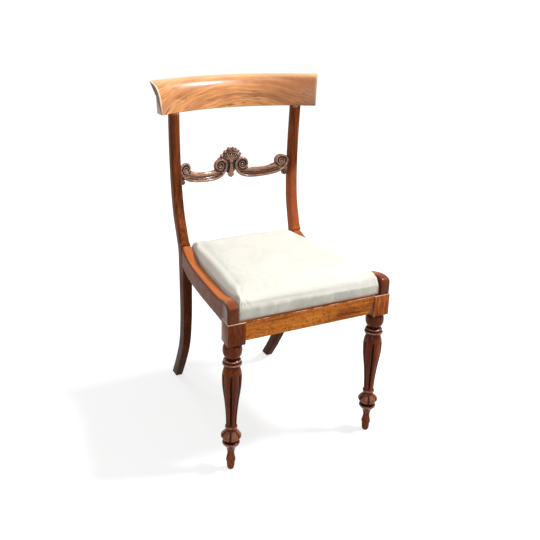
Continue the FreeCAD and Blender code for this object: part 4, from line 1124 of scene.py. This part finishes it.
LEAVES = ((2, 671.5, -12), (10.5, 668.5, -30), (18, 663, -46), (23.5, 655, -62))
LEAF_LENGTH = 9.6
LEAF_WIDTH = 8.4
LEAF_RELIEF = 4
LOBE_STEPS = 14
LOBE_ROOT_SHARE = 0.08
BALL_ROWS = 10
BALL_STEPS = 24
BALL_POLE = 0.02
COLUMN = ((646, 3.2), (643.6, 4.4), (642.4, 6.2), (640.4, 6.4), (638.6, 5.8), (637.4, 4.2), (633, 3.9),
          (622, 5), (612, 6.6), (607, 8.2), (604.6, 10.4), (602.6, 10.4), (600, 7.4), (595, 1))
COLUMN_DEPTH = 4.4
COLUMN_RELIEF = 4.8
COLUMN_STEPS = 28


def spiral(volute, start, hand):
    """Centre line of a volute's rim from its outside to its eye, hand +1 where it turns anticlockwise."""
    cx, cz, radius = volute
    found = []
    for k in range(VOLUTE_STEPS + 1):
        turns = VOLUTE_TURNS * k / VOLUTE_STEPS
        angle = start + hand * turns * 2 * math.pi
        reach = radius * VOLUTE_FALL ** turns
        found.append((cx + reach * math.cos(angle), cz + reach * math.sin(angle)))
    return found


def scroll_path():
    """One line from the inner eye, down the middle side, along the lower reed and up to the outer eye."""
    inner = spiral(INNER_VOLUTE, math.pi, -1)
    outer = spiral(OUTER_VOLUTE, 0.0, 1)
    linking = smooth_through([inner[1], inner[0], *LOWER_REED, outer[0], outer[1]], PATH_STEPS)
    return inner[:1:-1] + linking + outer[2:]


def rim_width(share):
    """The rim narrows towards both eyes."""
    return RIM_NARROW + (RIM_WIDE - RIM_NARROW) * eased(0.5 - abs(share - 0.5), *RIM_TAPER_SHARES)


def reed(path, width, front):
    """A half-round reed on a wall, along a flat path: x and z from the path, y the depth behind the face."""
    loops = []
    last = len(path) - 1
    for k, (x, z) in enumerate(path):
        ax, az = path[max(k - 1, 0)]
        bx, bz = path[min(k + 1, last)]
        length = math.hypot(bx - ax, bz - az)
        nx, nz = (az - bz) / length, (bx - ax) / length
        half = width(k / last) / 2
        section = [(half * cosine, front + RIM_ROUND * (1 - sine))
                   for cosine, sine in circle(REED_STEPS, math.pi, last=1)]
        section += [(-half, CARVING_BACK), (half, CARVING_BACK)]
        loops.append([Vector((x + nx * across, depth, z + nz * across)) for across, depth in section])
    return lofted(loops)


def turned_disc(cx, cz, rows, steps=DISC_STEPS):
    """Circles about a centre on the face, given as radius and depth."""
    return lofted([[Vector((cx + radius * cosine, depth, cz + radius * sine))
                    for cosine, sine in circle(steps)] for radius, depth in rows])


def ball(x, z, radius, depth):
    angles = [math.pi * (k + BALL_POLE) / (BALL_ROWS + 2 * BALL_POLE) for k in range(BALL_ROWS + 1)]
    rows = [(radius * math.sin(angle), depth + radius * math.cos(angle)) for angle in angles]
    return turned_disc(x, z, rows, BALL_STEPS)


def plate(outline, front):
    return lofted([[Vector((x, depth, z)) for x, z in outline] for depth in (CARVING_BACK, front)])


def in_volute(x, z):
    return any(math.hypot(x - cx, z - cz) < radius for cx, cz, radius in (INNER_VOLUTE, OUTER_VOLUTE))


def height_at(path, x):
    """Height of a left to right path at x."""
    for (x0, z0), (x1, z1) in zip(path, path[1:]):
        if x0 <= x <= x1:
            return z0 + (z1 - z0) * (x - x0) / (x1 - x0)
    return path[-1][1]


def upper_band():
    """Broad reed and thin rib between the volutes, sunk where a volute lies over them."""
    low_line, top_line = smooth_through(LOWER_REED, PATH_STEPS), smooth_through(BAND_TOP, PATH_STEPS)
    section = smooth_through(BAND_SECTION, SECTION_STEPS)
    x0, x1 = BAND_TOP[0][0], BAND_TOP[-1][0]
    loops = []
    for k in range(BAND_COLUMNS + 1):
        x = x0 + (x1 - x0) * k / BAND_COLUMNS
        low = height_at(low_line, x)
        rise = max(height_at(top_line, x) - low, BAND_LEAST)
        loop = []
        for up, depth in section:
            z = low + rise * up
            loop.append(Vector((x, max(depth, VOLUTE_GROUND + 1) if in_volute(x, z) else depth, z)))
        loops.append(loop + [Vector((x, BAND_BACK, z)) for z in (low + rise, low)])
    return lofted(loops)


def teardrop(root, angle, length, width, relief):
    """A lobe that swells from its root to a round tip, angle in degrees from upright."""
    turn = math.radians(angle)
    outward = Vector((math.sin(turn), 0, math.cos(turn)))
    across = Vector((math.cos(turn), 0, -math.sin(turn)))
    base = Vector((root[0], LEAF_FRONT, root[1]))
    loops = []
    for k in range(LOBE_STEPS + 1):
        t = k / LOBE_STEPS
        swelling = t ** 0.9 * math.sqrt(max(1 - t ** 7, 0.0))
        full = LOBE_ROOT_SHARE + (1 - LOBE_ROOT_SHARE) * swelling
        loops.append([base + outward * (length * t) + across * (width / 2 * full * cosine)
                      + Vector((0, relief * full * sine, 0)) for cosine, sine in circle(LOBE_STEPS)])
    return lofted(loops)


def shell_crest():
    """Fan of lobes under a hood, beads down the left edge and a notched leaf down the right."""
    shells = [plate(LEAF, LEAF_FRONT), plate(PANEL, PANEL_FRONT)]
    for k in range(FAN_LOBES):
        angle = FAN_SPREAD * (k / (FAN_LOBES - 1) - 0.5)
        shells.append(teardrop(FAN_ROOT, angle, FAN_LENGTH, FAN_WIDTH, FAN_RELIEF))
    turns = [math.radians(HOOD_HALF_TURN * (k / HOOD_STEPS - 1)) for k in range(2 * HOOD_STEPS + 1)]
    arch = [(FAN_ROOT[0] + HOOD_RADIUS * math.sin(t), FAN_ROOT[1] + HOOD_RADIUS * math.cos(t)) for t in turns]
    shells.append(reed(arch, lambda share: HOOD_WIDTH, HOOD_FRONT))
    for x, z, radius in BEADS:
        stem = radius * BEAD_STEM_SHARE
        shells.append(ball(x, z, radius, radius - BEAD_RISE))
        shells.append(turned_disc(x, z, ((stem, CARVING_BACK), (stem, radius))))
    for x, z, angle in LEAVES:
        for lean in (90 - angle, 20 - angle / 2):
            shells.append(teardrop((x, z), lean, LEAF_LENGTH, LEAF_WIDTH, LEAF_RELIEF))
    return shells


def column():
    """Little turned column with a ring at its head, a spreading foot and a point."""
    loops = []
    for z, half in smooth_through(COLUMN, SECTION_STEPS):
        relief = min(half, COLUMN_RELIEF)
        loops.append([Vector((half * cosine, COLUMN_DEPTH + relief * sine, z))
                      for cosine, sine in circle(COLUMN_STEPS)])
    return lofted(loops)


def half_carving():
    """Everything that both sides of the rail share, for the right side."""
    shells = [reed(scroll_path(), rim_width, RIM_FRONT), upper_band(), plate(WEB, VOLUTE_GROUND)]
    for cx, cz, radius in (INNER_VOLUTE, OUTER_VOLUTE):
        edge = radius + VOLUTE_LIP
        dish = ((edge, CARVING_BACK), (edge, VOLUTE_GROUND + VOLUTE_LIP),
                (radius / 2, VOLUTE_GROUND - VOLUTE_LIP), (VOLUTE_CORE, VOLUTE_GROUND - VOLUTE_SINK))
        shells += [turned_disc(cx, cz, dish), ball(cx, cz, VOLUTE_EYE, EYE_DEPTH)]
    x, z, radius = CURL
    rim = [(x + radius * cosine, z + radius * sine) for cosine, sine in circle(CURL_STEPS, last=1)]
    shells.append(reed(rim, lambda share: CURL_RIM, CURL_FRONT))
    ground = turned_disc(x, z, ((radius, CARVING_BACK), (radius, VOLUTE_GROUND)))
    shells += [ground, ball(x, z, CURL_EYE, EYE_DEPTH)]
    return joined(shells)


def wear_round(piece, slot, voxel, passes):
    """Joins the piece into one skin and smooths its edges."""
    modify(piece, "REMESH", mode="VOXEL", voxel_size=voxel)
    modify(piece, "SMOOTH", factor=0.5, iterations=passes)
    apply_modifiers(piece, slot)


def middle_rail():
    right = half_carving()
    points, faces = joined([right, mirrored(*right), column()] + shell_crest())
    flat = [Vector(p) / 1000 for p in points]
    piece = new_piece("mid_rail_carved", flat, faces, "carved_wood", "frame", ("mid_rail",))
    wear_round(piece, "carved_wood", CARVING_VOXEL, CARVING_PASSES)
    where = table(piece.data.vertices, "co")
    reach = (CREST_RADIUS + CARVING_SETBACK) / 1000 + where[:, 1]
    axis = (crest_front() - CREST_RADIUS) / 1000
    where[:, 1] = axis + np.sqrt(reach ** 2 - where[:, 0] ** 2) - MIDDLE_Y
    move_points(piece.data, where)


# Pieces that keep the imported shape, with eased edges, in metres
WELD_REACH = 0.00001
RAIL_VOXEL = 0.0013
RAIL_PASSES = 16
EDGE_ANGLE = math.radians(40)
EASED_NODES = ((0.0009, ("front_rail",)), (0.0012, ("back_rail",)), (0.0003, ("front_rail_veneer",)),
               (0.0008, ("front_brace_left", "front_brace_right", "back_brace_left", "back_brace_right")),
               (0.0015, ("seat_frame_front", "seat_frame_back", "seat_frame_left", "seat_frame_right")))


def side_rails():
    """Copies of the side rails' own meshes with their edges rubbed round."""
    for end in ("left", "right"):
        node = "side_rail_" + end
        piece = frame["nodes"][node].copy()
        piece.data = frame["nodes"][node].data.copy()
        piece.name = "side_rail_eased_" + end
        piece.parent = None
        for key in list(piece.keys()):
            del piece[key]
        bpy.context.scene.collection.objects.link(piece)
        modify(piece, "WELD", merge_threshold=WELD_REACH)
        wear_round(piece, "rail_wood", RAIL_VOXEL, RAIL_PASSES)
        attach(piece, "frame")
        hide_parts(node)


def ease_frame_edges():
    """Small rounds on the sawn pieces that keep their own mesh."""
    for width, names in EASED_NODES:
        for name in names:
            piece = frame["nodes"][name]
            modify(piece, "WELD", merge_threshold=WELD_REACH)
            modify(piece, "BEVEL", width=width, segments=2, limit_method="ANGLE", angle_limit=EDGE_ANGLE)


# Stage: camera, floor, world and lights
FLOOR_HALF = 60
FLOOR_COLOUR = (0.5, 0.5, 0.5, 1.0)
GLOW_NEAR, GLOW_FAR = 0.68, 0.88
GLOW_REACH = (0.6, 2.6)
WORLD_LIGHT = 0.28
LIGHT_TARGET = Vector((0, 0, 0.5))
LIGHTS = (("key", (1.55, -0.75, 2.75), 0.5, 84), ("front", (-1.6, -2.0, 1.6), 1.4, 21),
          ("back", (-0.6, 2.2, 2.0), 1.2, 14))


def camera():
    yaw, pitch, roll = CAMERA_YAW, CAMERA_PITCH, CAMERA_ROLL
    forward = Vector((math.sin(yaw) * math.cos(pitch), math.cos(yaw) * math.cos(pitch), -math.sin(pitch)))
    right = Vector((math.cos(yaw), -math.sin(yaw), 0))
    down = forward.cross(right)
    turned_right = right * math.cos(roll) + down * math.sin(roll)
    turned_down = down * math.cos(roll) - right * math.sin(roll)
    data = bpy.data.cameras.new("camera")
    data.sensor_width = SENSOR_WIDTH
    data.lens = SENSOR_WIDTH * FOCAL_PIXELS / IMAGE_SIDE
    data.shift_x = 0.5 - CENTRE_PIXEL[0] / IMAGE_SIDE
    data.shift_y = CENTRE_PIXEL[1] / IMAGE_SIDE - 0.5
    data.clip_start, data.clip_end = 0.05, 200.0
    placed = linked("camera", data)
    axes = Matrix((turned_right, -turned_down, -forward)).transposed()
    placed.matrix_world = Matrix.Translation(CAMERA_PLACE) @ axes.to_4x4()
    bpy.context.scene.camera = placed


def floor():
    """A plain floor that takes shadows, and glows for the camera to match the white background."""
    mesh = bpy.data.meshes.new("floor")
    corners = [(x * FLOOR_HALF, y * FLOOR_HALF, 0) for x, y in ((-1, -1), (1, -1), (1, 1), (-1, 1))]
    mesh.from_pydata(corners, [], [(0, 1, 2, 3)])
    material = bpy.data.materials.new("floor")
    s = Nodes(material)
    level = s.ramp(s.vector_math("LENGTH", s.geometry("Position")), *GLOW_REACH, GLOW_NEAR, GLOW_FAR)
    diffuse = s.node("BsdfDiffuse", {"Color": FLOOR_COLOUR})
    glow = s.node("Emission", {"Strength": s.times(s.seen_directly(), level)})
    both = s.node("AddShader", {0: diffuse.outputs[0], 1: glow.outputs[0]})
    s.node("OutputMaterial", {"Surface": both.outputs[0]})
    mesh.materials.append(material)
    linked("floor", mesh)


def world():
    made = bpy.data.worlds.new("studio")
    bpy.context.scene.world = made
    s = Nodes(made)
    strength = s.ramp(s.seen_directly(), 0.0, 1.0, WORLD_LIGHT, 1.0)
    background = s.node("Background", {"Color": (1.0, 1.0, 1.0, 1.0), "Strength": strength})
    s.node("OutputWorld", {"Surface": background.outputs[0]})


def soft_light(name, place, size, power):
    data = bpy.data.lights.new(name, "AREA")
    data.shape = "SQUARE"
    data.size = size
    data.energy = power
    lamp = linked(name, data)
    lamp.location = place
    lamp.rotation_euler = (LIGHT_TARGET - Vector(place)).to_track_quat("-Z", "Y").to_euler()


bpy.context.scene.view_settings.view_transform = "Standard"
camera()
floor()
world()
for light in LIGHTS:
    soft_light(*light)
SLOT_OF = {row["node"]: row["material_slot"] for row in frame["record"]["subparts"]}
for node_name, node_piece in frame["nodes"].items():
    dress(node_piece, SLOT_OF[node_name])
ease_frame_edges()
front_legs()
back_posts()
crest_rail()
middle_rail()
side_rails()
cushion()
